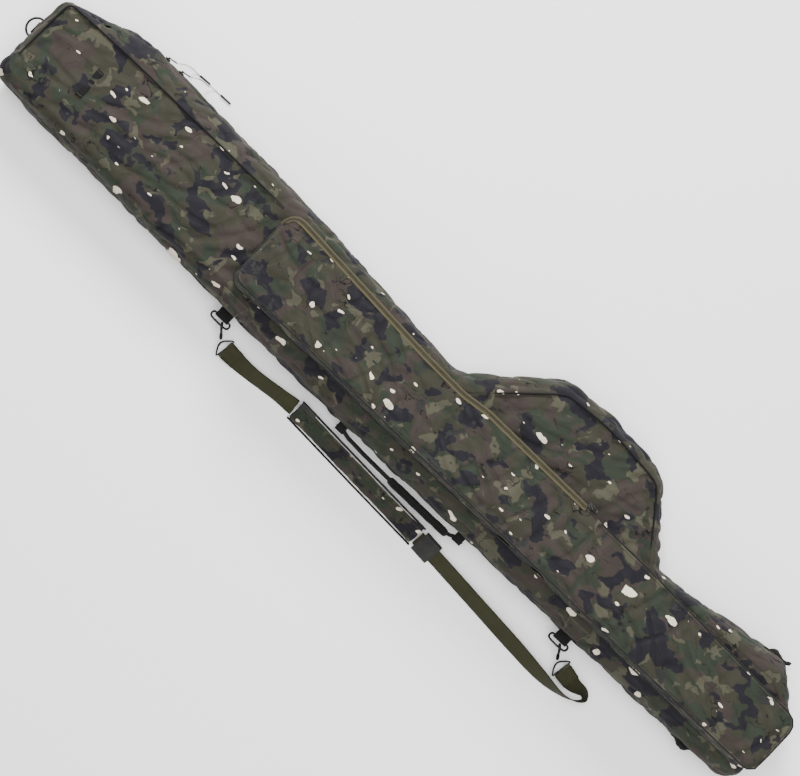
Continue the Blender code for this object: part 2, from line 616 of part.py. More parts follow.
def eye_block(name, centre, half, hole, length, along, back, material):
    """A square block with a round hole; along is the hole's axis and back how far it reaches to its wall."""
    count = 12
    outer, inner = [], circle(hole, count, math.pi / 12)
    for k in range(count):
        u, v = inner[k]
        reach = half / max(abs(u), abs(v))
        outer.append((u * reach, v * reach))
    if along == "X":
        outer = [(max(u, 0) / half * back + min(u, 0), v) for u, v in outer]
    rings = []
    for loop, end in ((outer, -1), (outer, 1), (inner, 1), (inner, -1)):
        ring = []
        for u, v in loop:
            offset = (end * length / 2, u, v) if along == "X" else (u, end * length / 2, v)
            ring.append(Vector(centre) + Vector(offset))
        rings.append(ring)
    return hoop(name, rings, material)


def wall_gap(x, y):
    """From a point beside the spine in to just off the spine wall."""
    ends = (-HALF, TIP_SPINE_Y) if x < -0.160 else (HALF, BUTT_SPINE_Y)
    wall = SPINE_Y + (ends[1] - SPINE_Y) * (x + 0.160) / (ends[0] + 0.160)
    return wall - 0.0008 - y


# top ring, hung in a webbing tab on the tip end
ring_x = -HALF - 0.006
eye_block("top_ring_tab", (ring_x, TOP_RING_Y, TOP_RING_Z), 0.0048, 0.0030, 0.026, "Y", 0.0, WEBBING)
arc = [(ring_x, TOP_RING_Y - TOP_RING_RADIUS + 0.003, TOP_RING_Z), (ring_x, TOP_RING_Y + TOP_RING_RADIUS - 0.003, TOP_RING_Z)]
for k in range(9):
    angle = math.radians(8 + 164 * k / 8)
    arc.append((ring_x - TOP_RING_RADIUS * math.sin(angle), TOP_RING_Y + TOP_RING_RADIUS * math.cos(angle), TOP_RING_Z))
top_ring = tube("top_ring", arc, TOP_RING_WIRE, METAL, closed=True)
joint_at("top_ring_axis", (ring_x, TOP_RING_Y, TOP_RING_Z), [top_ring])

# small tab where the main zip ends, on the butt end's peak
peak_angle = math.atan2(BUTT_PEAK_Y - POUCH_FOOT_BUTT_Y, BUTT_PEAK_X - POUCH_FOOT_BUTT_X)
tab_rings = []
for z in (BACK_DEPTH * 0.35, BACK_DEPTH * 0.68):
    corners = [(-0.046, 0.0008), (-0.022, 0.0008), (-0.022, 0.0030), (-0.046, 0.0030)]
    turn = Matrix.Rotation(peak_angle, 2)
    tab_rings.append([Vector((*(Vector((BUTT_PEAK_X, BUTT_PEAK_Y)) + turn @ Vector(c)), z)) for c in corners])
loft("zip_end_tab", tab_rings, WEBBING)

# ---- carrying handle ----
for name, x in (("handle_anchor_tip", HANDLE_TIP_X), ("handle_anchor_butt", HANDLE_BUTT_X)):
    eye_block(name, (x, HANDLE_PIVOT_Y, HANDLE_Z), ANCHOR_HALF, HANDLE_EYE, ANCHOR_LENGTH, "X",
              wall_gap(x, HANDLE_PIVOT_Y), WEBBING)
bow = HANDLE_PIVOT_Y - HANDLE_REACH
ends = (HANDLE_TIP_X - ANCHOR_LENGTH / 2 - 0.003, HANDLE_BUTT_X + ANCHOR_LENGTH / 2 + 0.003)
turns = (HANDLE_TIP_X + ANCHOR_LENGTH / 2 + 0.002, HANDLE_BUTT_X - ANCHOR_LENGTH / 2 - 0.002)
rope = [(ends[0], HANDLE_PIVOT_Y, HANDLE_Z), (turns[0], HANDLE_PIVOT_Y, HANDLE_Z),
        (turns[0] + 0.014, bow, HANDLE_Z), (turns[0] + 0.040, bow, HANDLE_Z), (turns[1] - 0.008, bow, HANDLE_Z),
        (turns[1] - 0.002, bow + 0.004, HANDLE_Z), (turns[1], HANDLE_PIVOT_Y, HANDLE_Z), (ends[1], HANDLE_PIVOT_Y, HANDLE_Z)]
handle_rope = tube("handle_webbing", rope, HANDLE_ROPE, BINDING)
grip_rings = []
for radius, x in ((GRIP_RADIUS, GRIP_TIP_X), (GRIP_RADIUS, GRIP_BUTT_X), (HANDLE_EYE, GRIP_BUTT_X), (HANDLE_EYE, GRIP_TIP_X)):
    grip_rings.append([Vector((x, bow + u, HANDLE_Z + v)) for u, v in circle(radius, 14)])
handle_grip = hoop("handle_grip", grip_rings, GRIP)
joint_at("handle_axis", (HANDLE_TIP_X, HANDLE_PIVOT_Y, HANDLE_Z), [handle_rope, handle_grip])


# ---- shoulder strap: rings in tabs on the spine, snap hooks, webbing, pad and adjuster ----
def frame_point(origin, x_dir, y_dir, u, v):
    return origin + x_dir * u + y_dir * v


ring_down = Vector((0, -math.cos(math.radians(RING_DROP)), -math.sin(math.radians(RING_DROP))))
hook_aim = Vector(HOOK_AIM).normalized()
strap_pieces = []
ring_half = RING_WIDTH / 2
loop_ends = {}
for end, x, hook_x in (("tip", STRAP_TIP_X, 0.010), ("butt", STRAP_BUTT_X, 0.010)):
    pivot = Vector((x, STRAP_PIVOT_Y, STRAP_PIVOT_Z))
    eye_block("strap_tab_" + end, pivot, TAB_HALF, TAB_EYE, TAB_LENGTH, "X", wall_gap(x, STRAP_PIVOT_Y), CAMO)
    corners = [(-ring_half + 0.004, 0), (ring_half - 0.004, 0), (ring_half, 0.004), (ring_half, RING_DEPTH - 0.004),
               (ring_half - 0.004, RING_DEPTH), (-ring_half + 0.004, RING_DEPTH), (-ring_half, RING_DEPTH - 0.004), (-ring_half, 0.004)]
    ring = tube("strap_ring_" + end, [frame_point(pivot, Vector((1, 0, 0)), ring_down, u, v) for u, v in corners],
                RING_WIRE, METAL, closed=True)
    # the hook's bow goes round the ring's outer bar; its plane holds the hook's own axis
    centre = pivot + Vector((hook_x, 0, 0)) + ring_down * RING_DEPTH
    side = hook_aim.cross(Vector((0, 0, 1))).normalized()
    across = side.cross(hook_aim).normalized()
    path, swell = [], []
    for s, size in ((HOOK_LENGTH, 1.45), (HOOK_BOW + 0.011, 1.45), (HOOK_BOW + 0.008, 1.0)):
        path.append(centre + hook_aim * s)
        swell.append(size)
    for k in range(9):
        angle = math.radians(28 + 262 * k / 8)
        path.append(centre + hook_aim * HOOK_BOW * math.cos(angle) + across * HOOK_BOW * math.sin(angle))
        swell.append(1.0 if k < 7 else 0.85)
    hook = tube("strap_hook_" + end, path, HOOK_WIRE, METAL, swell=swell)
    joint_at("hook_axis_" + end, centre, [hook])
    gate_root = centre + hook_aim * (HOOK_BOW + 0.0065) - across * 0.0062
    gate_tip = centre - across * (HOOK_BOW + 0.0010) + hook_aim * 0.0062
    gate = tube("hook_gate_" + end, [gate_root, gate_tip], 0.0013, METAL)
    joint_at("gate_axis_" + end, gate_root, [gate])
    # trapezium loop that the webbing is sewn round
    eye = centre + hook_aim * (HOOK_LENGTH + EYE_GAP + LOOP_WIRE)
    loop_along = Vector((0.97, -0.16, -0.12)).normalized()
    loop_across = Vector((0.16, 0.97, 0)).normalized()
    loop_across = (loop_across - loop_along * loop_across.dot(loop_along)).normalized()
    wide = STRAP_WIDTH / 2 + 0.003
    corners = [(0, -0.005), (0, 0.005), (LOOP_LENGTH - 0.002, wide), (LOOP_LENGTH, wide - 0.002),
               (LOOP_LENGTH, -wide + 0.002), (LOOP_LENGTH - 0.002, -wide)]
    loop = tube("strap_loop_" + end, [frame_point(eye, loop_along, loop_across, u, v) for u, v in corners],
                LOOP_WIRE, METAL, closed=True)
    loop_ends[end] = eye + loop_along * (LOOP_LENGTH + LOOP_WIRE + 2 * LOOSE)
    strap_pieces += [ring, loop]

# route rows: x, y, height, tilt
tip_start = loop_ends["tip"]
STRAP_EDGE_Z = 0.0150
upper_route = [(tip_start.x, tip_start.y, tip_start.z, 8), (-0.255, -0.184, 0.0130, 30), (-0.215, -0.182, STRAP_EDGE_Z, 42),
               (-0.165, -0.176, STRAP_EDGE_Z, 42), (-0.121, -0.172, 0.0150, 30)]
strap_pieces.append(band("strap_webbing_tip", smooth_path(upper_route, 3), STRAP_WIDTH, STRAP_THICK, WEBBING))
PAD_TILT = 20
PAD_Z = 0.0150
pad_route = [(-0.118, -0.1745, PAD_Z, PAD_TILT), (-0.080, -0.1765, PAD_Z, PAD_TILT), (0.060, -0.184, PAD_Z, PAD_TILT),
             (0.218, -0.1905, PAD_Z, PAD_TILT)]
strap_pieces.append(band("shoulder_pad", smooth_path(pad_route, 3), PAD_WIDTH, PAD_THICK, CAMO))
tilt = math.radians(PAD_TILT)
pad_across = Vector((0, math.cos(tilt), math.sin(tilt)))
pad_face = Vector((0, -math.sin(tilt), math.cos(tilt)))
cap_shift = pad_across * (PAD_WIDTH / 2 - 0.010) + pad_face * (PAD_THICK / 2 + 0.0035)
cap_route = []
for x, y in ((-0.116, -0.1747), (-0.080, -0.1765)):
    cap_route.append((x, y + cap_shift.y, PAD_Z + cap_shift.z, PAD_TILT))
strap_pieces.append(band("pad_keeper", cap_route, 0.016, 0.005, PLASTIC))

LOWER_START = Vector((0.2195, -0.1906, STRAP_EDGE_Z))
LOWER_AIM = Vector((0.500, -0.2130, STRAP_EDGE_Z))
butt_end = loop_ends["butt"]
lower_route = [(*LOWER_START, 40), (0.300, -0.1970, STRAP_EDGE_Z, 40), (0.400, -0.2050, STRAP_EDGE_Z, 40), (*LOWER_AIM, 40),
               (0.570, -0.2185, 0.0170, 52), (0.620, -0.2180, 0.0205, 76), (0.648, -0.2100, 0.0208, 88),
               (0.662, -0.1965, 0.0208, 98), (0.650, -0.1855, 0.0198, 118)]
straight_on = butt_end + loop_along * 0.030
lower_route.append((straight_on.x, straight_on.y, straight_on.z, 148))
lower_route.append((butt_end.x, butt_end.y, butt_end.z, 172))
strap_pieces.append(band("strap_webbing_butt", smooth_path(lower_route, 4), STRAP_WIDTH, STRAP_THICK, WEBBING))

# adjuster: a sleeve that runs on the straight of the lower webbing
run = (LOWER_AIM - LOWER_START).normalized()
buckle_mid = LOWER_START + run * (BUCKLE_LENGTH / 2 + 0.006)
level = Vector((-run.y, run.x, 0))
tilt = math.radians(40)
across = level * math.cos(tilt) + Vector((0, 0, 1)) * math.sin(tilt)
face = run.cross(across).normalized()
rings = []
in_w, in_t = STRAP_WIDTH / 2 + LOOSE, STRAP_THICK / 2 + LOOSE
out_w, out_t = in_w + BUCKLE_FRAME, in_t + BUCKLE_FRAME * 0.4
for half_w, half_t, end in ((out_w, out_t, -1), (out_w, out_t, 1), (in_w, in_t, 1), (in_w, in_t, -1)):
    middle = buckle_mid + run * end * BUCKLE_LENGTH / 2
    rings.append([middle - across * half_w - face * half_t, middle + across * half_w - face * half_t,
                  middle + across * half_w + face * half_t, middle - across * half_w + face * half_t])
adjuster = hoop("strap_adjuster", rings, PLASTIC)
joint_at("adjuster_axis", buckle_mid, [adjuster])
joint_at("strap_axis", ((STRAP_TIP_X + STRAP_BUTT_X) / 2, STRAP_PIVOT_Y, STRAP_PIVOT_Z), strap_pieces)
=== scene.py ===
import json
import math
import random

import bmesh
import bpy
import numpy as np
from mathutils import Matrix, Vector, kdtree, noise
from mathutils.bvhtree import BVHTree


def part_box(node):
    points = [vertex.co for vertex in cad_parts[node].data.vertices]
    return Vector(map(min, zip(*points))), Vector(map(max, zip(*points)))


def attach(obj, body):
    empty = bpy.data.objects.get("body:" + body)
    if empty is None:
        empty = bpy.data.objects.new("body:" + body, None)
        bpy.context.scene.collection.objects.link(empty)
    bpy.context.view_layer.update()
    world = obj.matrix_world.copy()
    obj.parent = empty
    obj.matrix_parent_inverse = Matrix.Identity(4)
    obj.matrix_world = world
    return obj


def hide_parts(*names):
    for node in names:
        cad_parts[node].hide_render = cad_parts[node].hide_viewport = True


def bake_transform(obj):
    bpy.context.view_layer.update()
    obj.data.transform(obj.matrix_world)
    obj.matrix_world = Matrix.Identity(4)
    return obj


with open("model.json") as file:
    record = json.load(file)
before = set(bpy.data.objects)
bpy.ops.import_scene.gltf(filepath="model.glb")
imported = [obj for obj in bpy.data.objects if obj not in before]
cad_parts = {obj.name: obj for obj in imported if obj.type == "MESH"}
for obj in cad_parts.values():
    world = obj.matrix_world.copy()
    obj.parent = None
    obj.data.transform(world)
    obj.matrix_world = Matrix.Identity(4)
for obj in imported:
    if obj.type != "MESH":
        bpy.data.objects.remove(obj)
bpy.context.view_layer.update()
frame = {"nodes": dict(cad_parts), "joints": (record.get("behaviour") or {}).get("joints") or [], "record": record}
print("frame loaded:", len(frame["nodes"]), "nodes")

# ---------- camera, floor and lights ----------
shot = {
    "roll": 43.6,                 # the case runs down to the right by this much
    "distance": 5.0,
    "lens": 119.6,
    "lookAt": (-0.0015, -0.0092, 0.09),
    "lean": 2.0,                  # degrees off straight down, towards the spine side
}


def addCamera():
    look = bpy.data.cameras.new("camera")
    look.lens = shot["lens"]
    look.clip_end = 60
    cam = bpy.data.objects.new("camera", look)
    bpy.context.scene.collection.objects.link(cam)
    lean = math.radians(shot["lean"])
    offset = Vector((0, -math.sin(lean), math.cos(lean))) * shot["distance"]
    cam.location = Vector(shot["lookAt"]) + offset
    tilt = Matrix.Rotation(lean, 4, "X")
    spin = Matrix.Rotation(math.radians(shot["roll"]), 4, "Z")
    cam.matrix_world = Matrix.Translation(cam.location) @ tilt @ spin
    bpy.context.scene.camera = cam
    return cam


def addFloor():
    bpy.ops.mesh.primitive_plane_add(size=60, location=(0, 0, -0.0005))
    floor = bpy.context.object
    floor.name = "floor"
    paint = bpy.data.materials.new("floorPaint")
    paint.use_nodes = True
    face = paint.node_tree.nodes["Principled BSDF"]
    face.inputs["Base Color"].default_value = (0.97, 0.97, 0.97, 1)
    face.inputs["Roughness"].default_value = 0.9
    floor.data.materials.append(paint)


def addLight(name, place, size, power, aim=(0, 0, 0.05)):
    lamp = bpy.data.lights.new(name, "AREA")
    lamp.shape = "DISK"
    lamp.size = size
    lamp.energy = power
    obj = bpy.data.objects.new(name, lamp)
    bpy.context.scene.collection.objects.link(obj)
    obj.location = place
    obj.rotation_euler = (Vector(aim) - Vector(place)).to_track_quat("-Z", "Y").to_euler()


addCamera()
addFloor()
addLight("keyLight", (-2.2, 3.0, 2.6), 1.6, 330)
addLight("fillLight", (2.6, -2.0, 3.2), 3.0, 90)
addLight("topLight", (0.3, 0.3, 5.5), 4.0, 380)
sky = bpy.data.worlds.new("studio")
sky.use_nodes = True
sky.node_tree.nodes["Background"].inputs[0].default_value = (1, 1, 1, 1)
sky.node_tree.nodes["Background"].inputs[1].default_value = 0.40
bpy.context.scene.world = sky
print("camera, floor and lights set")


# ---------- shader groups ----------
def newGroup(name, inputs, outputs):
    group = bpy.data.node_groups.new(name, "ShaderNodeTree")
    for label, kind, value in inputs:
        socket = group.interface.new_socket(label, in_out="INPUT", socket_type=kind)
        if value is not None:
            socket.default_value = value
    for label, kind in outputs:
        group.interface.new_socket(label, in_out="OUTPUT", socket_type=kind)
    return group, group.nodes.new("NodeGroupInput"), group.nodes.new("NodeGroupOutput")


def put(tree, kind, inputs=None, **settings):
    item = tree.nodes.new(kind)
    for key, value in settings.items():
        setattr(item, key, value)
    for key, value in (inputs or {}).items():
        if isinstance(value, bpy.types.NodeSocket):
            tree.links.new(value, item.inputs[key])   # a socket is linked, anything else is set
        else:
            item.inputs[key].default_value = value
    return item


def maths(tree, how, a, b=0.0, clamp=False):
    return put(tree, "ShaderNodeMath", {0: a, 1: b}, operation=how, use_clamp=clamp).outputs[0]


def layOver(tree, below, colour, mask):
    mixer = put(tree, "ShaderNodeMix", {"Factor": mask, 6: below, 7: colour}, data_type="RGBA")
    return mixer.outputs[2]


camo = {
    "ground": (0.026, 0.025, 0.017, 1),
    "moss": (0.019, 0.024, 0.016, 1),
    "heather": (0.031, 0.024, 0.021, 1),
    "sand": (0.052, 0.050, 0.034, 1),
    "slate": (0.0090, 0.0084, 0.0120, 1),
    "twig": (0.0025, 0.0022, 0.002, 1),
    "pebble": (0.62, 0.55, 0.44, 1),
}


def camoPrint():
    tree, start, end = newGroup("camoPrint", [("Vector", "NodeSocketVector", None), ("Scale", "NodeSocketFloat", 1.0)],
                                [("Color", "NodeSocketColor"), ("Pale", "NodeSocketFloat")])
    place = put(tree, "ShaderNodeVectorMath", {0: start.outputs["Vector"]}, operation="SCALE")
    tree.links.new(start.outputs["Scale"], place.inputs["Scale"])
    wobble = put(tree, "ShaderNodeTexNoise", {"Vector": place.outputs[0], "Scale": 24.0, "Detail": 3.0})
    centred = put(tree, "ShaderNodeVectorMath", {0: wobble.outputs["Color"], 1: (0.5, 0.5, 0.5)}, operation="SUBTRACT")
    pushed = put(tree, "ShaderNodeVectorMath", {0: centred.outputs[0], 1: (0.055, 0.055, 0.055), 2: place.outputs[0]},
                 operation="MULTIPLY_ADD").outputs[0]

    def blot(shift, scale, cut, soft, stretch=(1, 1, 1), detail=2.0):
        moved = put(tree, "ShaderNodeMapping", {"Vector": pushed, "Location": shift, "Scale": stretch}).outputs[0]
        cloud = put(tree, "ShaderNodeTexNoise", {"Vector": moved, "Scale": scale, "Detail": detail, "Roughness": 0.45})
        return put(tree, "ShaderNodeMapRange", {"Value": cloud.outputs["Fac"], "From Min": cut - soft,
                                                "From Max": cut + soft}).outputs[0]

    colour = put(tree, "ShaderNodeRGB").outputs[0]
    colour.default_value = camo["ground"]
    colour = layOver(tree, colour, camo["moss"], blot((3.1, 0.4, 7.7), 19.0, 0.52, 0.012, (0.8, 1, 1)))
    colour = layOver(tree, colour, camo["heather"], blot((9.3, 5.2, 1.9), 20.0, 0.55, 0.012, (0.9, 1, 1)))
    colour = layOver(tree, colour, camo["sand"], blot((5.5, 8.1, 2.3), 27.0, 0.61, 0.012))
    colour = layOver(tree, colour, camo["slate"], blot((1.7, 2.6, 4.4), 19.0, 0.565, 0.010, (0.9, 1.1, 1)))
    for shift, turn in (((2.2, 6.1, 0.3), 0.7), ((7.9, 1.4, 5.2), -0.5)):     # twigs: thin bands of a stretched noise
        moved = put(tree, "ShaderNodeMapping", {"Vector": pushed, "Location": shift, "Rotation": (0, 0, turn),
                                                "Scale": (0.45, 1.5, 1.2)}).outputs[0]
        cloud = put(tree, "ShaderNodeTexNoise", {"Vector": moved, "Scale": 21.0, "Detail": 1.0}).outputs["Fac"]
        off = maths(tree, "ABSOLUTE", maths(tree, "SUBTRACT", cloud, 0.5))
        band = put(tree, "ShaderNodeMapRange", {"Value": off, "From Min": 0.013, "From Max": 0.003}).outputs[0]
        patch = blot(shift[::-1], 15.0, 0.60, 0.06)
        colour = layOver(tree, colour, camo["twig"], maths(tree, "MULTIPLY", band, patch))
    nudged = put(tree, "ShaderNodeVectorMath", {0: centred.outputs[0], 1: (0.03, 0.03, 0.0), 2: place.outputs[0]},
                 operation="MULTIPLY_ADD").outputs[0]
    pale = None
    for shift, turn, scale, size in (((0.3, 0.2, 0.6), 0.5, 14.0, 0.105), ((4.4, 2.7, 1.1), -0.9, 25.0, 0.095)):
        moved = put(tree, "ShaderNodeMapping", {"Vector": nudged, "Location": shift, "Rotation": (0, 0, turn),
                                                "Scale": (1.0, 2.1, 0.15)}).outputs[0]
        cells = put(tree, "ShaderNodeTexVoronoi", {"Vector": moved, "Scale": scale, "Randomness": 1.0})
        chance = put(tree, "ShaderNodeSeparateColor", {0: cells.outputs["Color"]})
        reach = maths(tree, "MULTIPLY", chance.outputs[0], size * 2)
        inside = maths(tree, "SUBTRACT", reach, cells.outputs["Distance"])
        spot = put(tree, "ShaderNodeMapRange", {"Value": inside, "From Min": 0.0, "From Max": 0.012}).outputs[0]
        kept = maths(tree, "GREATER_THAN", chance.outputs[1], 0.30)
        spot = maths(tree, "MULTIPLY", spot, kept)
        pale = spot if pale is None else maths(tree, "MAXIMUM", pale, spot)
    colour = layOver(tree, colour, camo["pebble"], pale)
    tree.links.new(colour, end.inputs["Color"])
    tree.links.new(pale, end.inputs["Pale"])
    return tree


def clothWeave():
    tree, start, end = newGroup("clothWeave", [("Vector", "NodeSocketVector", None), ("Threads", "NodeSocketFloat", 220.0)],
                                [("Height", "NodeSocketFloat"), ("Fade", "NodeSocketFloat")])
    rows = []
    for axis in ("X", "Y", "Z"):
        wave = put(tree, "ShaderNodeTexWave", {"Vector": start.outputs["Vector"], "Scale": start.outputs["Threads"]},
                   bands_direction=axis)
        rows.append(wave.outputs["Fac"])
    height = maths(tree, "MULTIPLY", maths(tree, "ADD", maths(tree, "ADD", rows[0], rows[1]), rows[2]), 0.33)
    drift = put(tree, "ShaderNodeTexNoise", {"Vector": start.outputs["Vector"], "Scale": 30.0, "Detail": 6.0})
    tree.links.new(height, end.inputs["Height"])
    tree.links.new(drift.outputs["Fac"], end.inputs["Fade"])
    return tree


def fadedEdge():
    tree, start, end = newGroup("fadedEdge", [("Color", "NodeSocketColor", (0.5, 0.5, 0.5, 1)),
                                              ("Amount", "NodeSocketFloat", 0.3), ("Vector", "NodeSocketVector", None)],
                                [("Color", "NodeSocketColor"), ("Mask", "NodeSocketFloat")])
    shape = put(tree, "ShaderNodeNewGeometry")
    ridge = put(tree, "ShaderNodeMapRange", {"Value": shape.outputs["Pointiness"], "From Min": 0.50, "From Max": 0.58})
    cloud = put(tree, "ShaderNodeTexNoise", {"Vector": start.outputs["Vector"], "Scale": 60.0, "Detail": 4.0})
    mask = maths(tree, "MULTIPLY", maths(tree, "MULTIPLY", ridge.outputs[0], cloud.outputs["Fac"]), start.outputs["Amount"])
    pale = put(tree, "ShaderNodeMix", {"Factor": mask, 6: start.outputs["Color"], 7: (0.32, 0.31, 0.28, 1)}, data_type="RGBA")
    tree.links.new(pale.outputs[2], end.inputs["Color"])
    tree.links.new(mask, end.inputs["Mask"])
    return tree


camoTree, weaveTree, edgeTree = camoPrint(), clothWeave(), fadedEdge()


def useGroup(tree, group, inputs):
    item = put(tree, "ShaderNodeGroup", node_tree=group)
    for key, value in inputs.items():
        if isinstance(value, bpy.types.NodeSocket):
            tree.links.new(value, item.inputs[key])
        else:
            item.inputs[key].default_value = value
    return item


# ---------- materials ----------
def startMaterial(name):
    material = bpy.data.materials.new(name)
    material.use_nodes = True
    tree = material.node_tree
    return material, tree, tree.nodes["Principled BSDF"], put(tree, "ShaderNodeTexCoord").outputs["Object"]


def bumpInto(tree, shader, height, distance, strength=1.0):
    bump = put(tree, "ShaderNodeBump", {"Height": height, "Distance": distance, "Strength": strength})
    tree.links.new(bump.outputs[0], shader.inputs["Normal"])


def printedCloth(name, scale=1.0, dim=1.0):
    material, tree, shader, where = startMaterial(name)
    pattern = useGroup(tree, camoTree, {"Vector": where, "Scale": scale})
    weave = useGroup(tree, weaveTree, {"Vector": where, "Threads": 230.0})
    shade = put(tree, "ShaderNodeMapRange", {"Value": weave.outputs["Fade"], "To Min": 0.80 * dim, "To Max": 1.16 * dim})
    tinted = put(tree, "ShaderNodeVectorMath", {0: pattern.outputs["Color"]}, operation="SCALE")
    tree.links.new(shade.outputs[0], tinted.inputs["Scale"])
    worn = useGroup(tree, edgeTree, {"Color": tinted.outputs[0], "Amount": 0.10, "Vector": where})
    tree.links.new(worn.outputs["Color"], shader.inputs["Base Color"])
    rough = put(tree, "ShaderNodeMapRange", {"Value": weave.outputs["Height"], "To Min": 0.88, "To Max": 0.66})
    tree.links.new(rough.outputs[0], shader.inputs["Roughness"])
    shader.inputs["Sheen Weight"].default_value = 0.02
    shader.inputs["Specular IOR Level"].default_value = 0.14
    bumpInto(tree, shader, weave.outputs["Height"], 0.0003, 0.6)
    return material


def plainCloth(name, colour, threads, rough=0.85, depth=0.0004, fade=0.35):
    material, tree, shader, where = startMaterial(name)
    weave = useGroup(tree, weaveTree, {"Vector": where, "Threads": threads})
    shade = put(tree, "ShaderNodeMapRange", {"Value": weave.outputs["Height"], "To Min": 1 - fade, "To Max": 1 + fade})
    drift = put(tree, "ShaderNodeMapRange", {"Value": weave.outputs["Fade"], "To Min": 0.85, "To Max": 1.15})
    amount = maths(tree, "MULTIPLY", shade.outputs[0], drift.outputs[0])
    tinted = put(tree, "ShaderNodeVectorMath", {0: colour[:3]}, operation="SCALE")
    tree.links.new(amount, tinted.inputs["Scale"])
    worn = useGroup(tree, edgeTree, {"Color": tinted.outputs[0], "Amount": 0.06, "Vector": where})
    tree.links.new(worn.outputs["Color"], shader.inputs["Base Color"])
    roughness = put(tree, "ShaderNodeMapRange", {"Value": weave.outputs["Height"], "To Min": min(1, rough + 0.08),
                                                 "To Max": rough - 0.08})
    tree.links.new(roughness.outputs[0], shader.inputs["Roughness"])
    shader.inputs["Sheen Weight"].default_value = 0.02
    shader.inputs["Specular IOR Level"].default_value = 0.14
    bumpInto(tree, shader, weave.outputs["Height"], depth, 0.8)
    return material


def hardFinish(name, colour, rough, metallic, grain=900.0, depth=0.00008):
    material, tree, shader, where = startMaterial(name)
    speck = put(tree, "ShaderNodeTexNoise", {"Vector": where, "Scale": grain, "Detail": 3.0})
    smear = put(tree, "ShaderNodeTexNoise", {"Vector": where, "Scale": 90.0, "Detail": 5.0})
    worn = useGroup(tree, edgeTree, {"Color": colour, "Amount": 0.12, "Vector": where})
    tree.links.new(worn.outputs["Color"], shader.inputs["Base Color"])
    roughness = put(tree, "ShaderNodeMapRange", {"Value": smear.outputs["Fac"], "To Min": rough - 0.1, "To Max": rough + 0.12})
    tree.links.new(roughness.outputs[0], shader.inputs["Roughness"])
    shader.inputs["Metallic"].default_value = metallic
    shader.inputs["Specular IOR Level"].default_value = 0.25
    bumpInto(tree, shader, speck.outputs["Fac"], depth, 0.6)
    return material


finishes = {
    "camo_fabric": printedCloth("camoCloth"),
    "lining_fabric": plainCloth("blackLining", (0.020, 0.021, 0.020), 300.0, 0.9, 0.0002),
    "olive_webbing": plainCloth("oliveWebbing", (0.034, 0.034, 0.017), 110.0, 0.8, 0.0006, 0.45),
    "zip_tape": plainCloth("oliveZipTape", (0.078, 0.069, 0.037), 260.0, 0.82, 0.0003),
    "black_binding": plainCloth("blackBinding", (0.005, 0.005, 0.005), 200.0, 0.8, 0.0004),
    "black_metal": hardFinish("blackenedMetal", (0.016, 0.016, 0.017, 1), 0.38, 1.0),
    "black_plastic": hardFinish("mouldedNylon", (0.006, 0.006, 0.0065, 1), 0.55, 0.0),
    "black_foam": plainCloth("gripWrap", (0.005, 0.005, 0.005), 160.0, 0.92, 0.0008),
    "grey_cord": plainCloth("greyCord", (0.50, 0.50, 0.48), 320.0, 0.7, 0.0004, 0.25),
}
slotOf = {row["node"]: row["material_slot"] for row in frame["record"]["subparts"]}
bodyOf = {name: body for body, names in frame["record"]["behaviour"]["bodies"].items() for name in names}
for name, obj in frame["nodes"].items():
    obj.data.materials.clear()
    obj.data.materials.append(finishes[slotOf[name]])
print("materials made:", len(finishes))


# ---------- mesh helpers ----------
def linkMesh(name, mesh):
    obj = bpy.data.objects.new(name, mesh)
    bpy.context.scene.collection.objects.link(obj)
    return obj


def bake(obj):
    bpy.context.view_layer.update()
    mesh = bpy.data.meshes.new_from_object(obj.evaluated_get(bpy.context.evaluated_depsgraph_get()))
    obj.modifiers.clear()
    old = obj.data
    obj.data = mesh
    bpy.data.meshes.remove(old)
    return obj


def mergedCopy(names, title):
    mesh = bpy.data.meshes.new(title)
    whole = bmesh.new()
    for name in names:
        whole.from_mesh(frame["nodes"][name].data)
    bmesh.ops.remove_doubles(whole, verts=whole.verts, dist=0.00005)
    whole.to_mesh(mesh)
    whole.free()
    return linkMesh(title, mesh)


def wearing(obj, finish):
    obj.data.materials.clear()
    obj.data.materials.append(finishes[finish])
    return obj


def settle(obj, node, finish=None, body=None):
    # puts a finished piece on its body in place of its CAD node
    wearing(obj, finish or slotOf[node])
    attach(obj, body or bodyOf[node])
    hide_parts(node)
    return obj


def roundedCopy(node, levels=2, title=None):
    obj = mergedCopy([node], title or node.title().replace("_", ""))
    flat = obj.modifiers.new("flatten", "DECIMATE")
    flat.decimate_type = "DISSOLVE"
    flat.angle_limit = math.radians(1)
    bake(obj)
    rounder = obj.modifiers.new("rounder", "SUBSURF")
    rounder.levels = rounder.render_levels = levels
    bake(obj)
    obj.data.shade_smooth()
    return settle(obj, node)


# every face of the case that looks at another wall is an inside face
caseNodes = ["back_shell", "front_shell", "pocket_gusset", "pocket_panel", "pocket_flap"]
caseShape = bmesh.new()
for name in caseNodes:
    caseShape.from_mesh(frame["nodes"][name].data)
caseTree = BVHTree.FromBMesh(caseShape)
caseShape.faces.ensure_lookup_table()


def looksInside(point):
    wall, out = caseTree.find_nearest(point)[:2]
    return caseTree.ray_cast(wall + out * 0.0006, out, 0.6)[0] is not None


def seamLine(obj, sharp=math.radians(29)):
    # points along every edge that is sewn, so that cloth stays tight there
    shape = bmesh.new()
    shape.from_mesh(obj.data)
    points = []
    for edge in shape.edges:
        if len(edge.link_faces) == 2 and edge.calc_face_angle(0) > sharp:
            a, b = edge.verts[0].co, edge.verts[1].co
            steps = max(1, int((b - a).length / 0.003))
            points += [a.lerp(b, k / steps) for k in range(steps + 1)]
    shape.free()
    tree = kdtree.KDTree(len(points))
    for i, p in enumerate(points):
        tree.insert(p, i)
    tree.balance()
    return tree


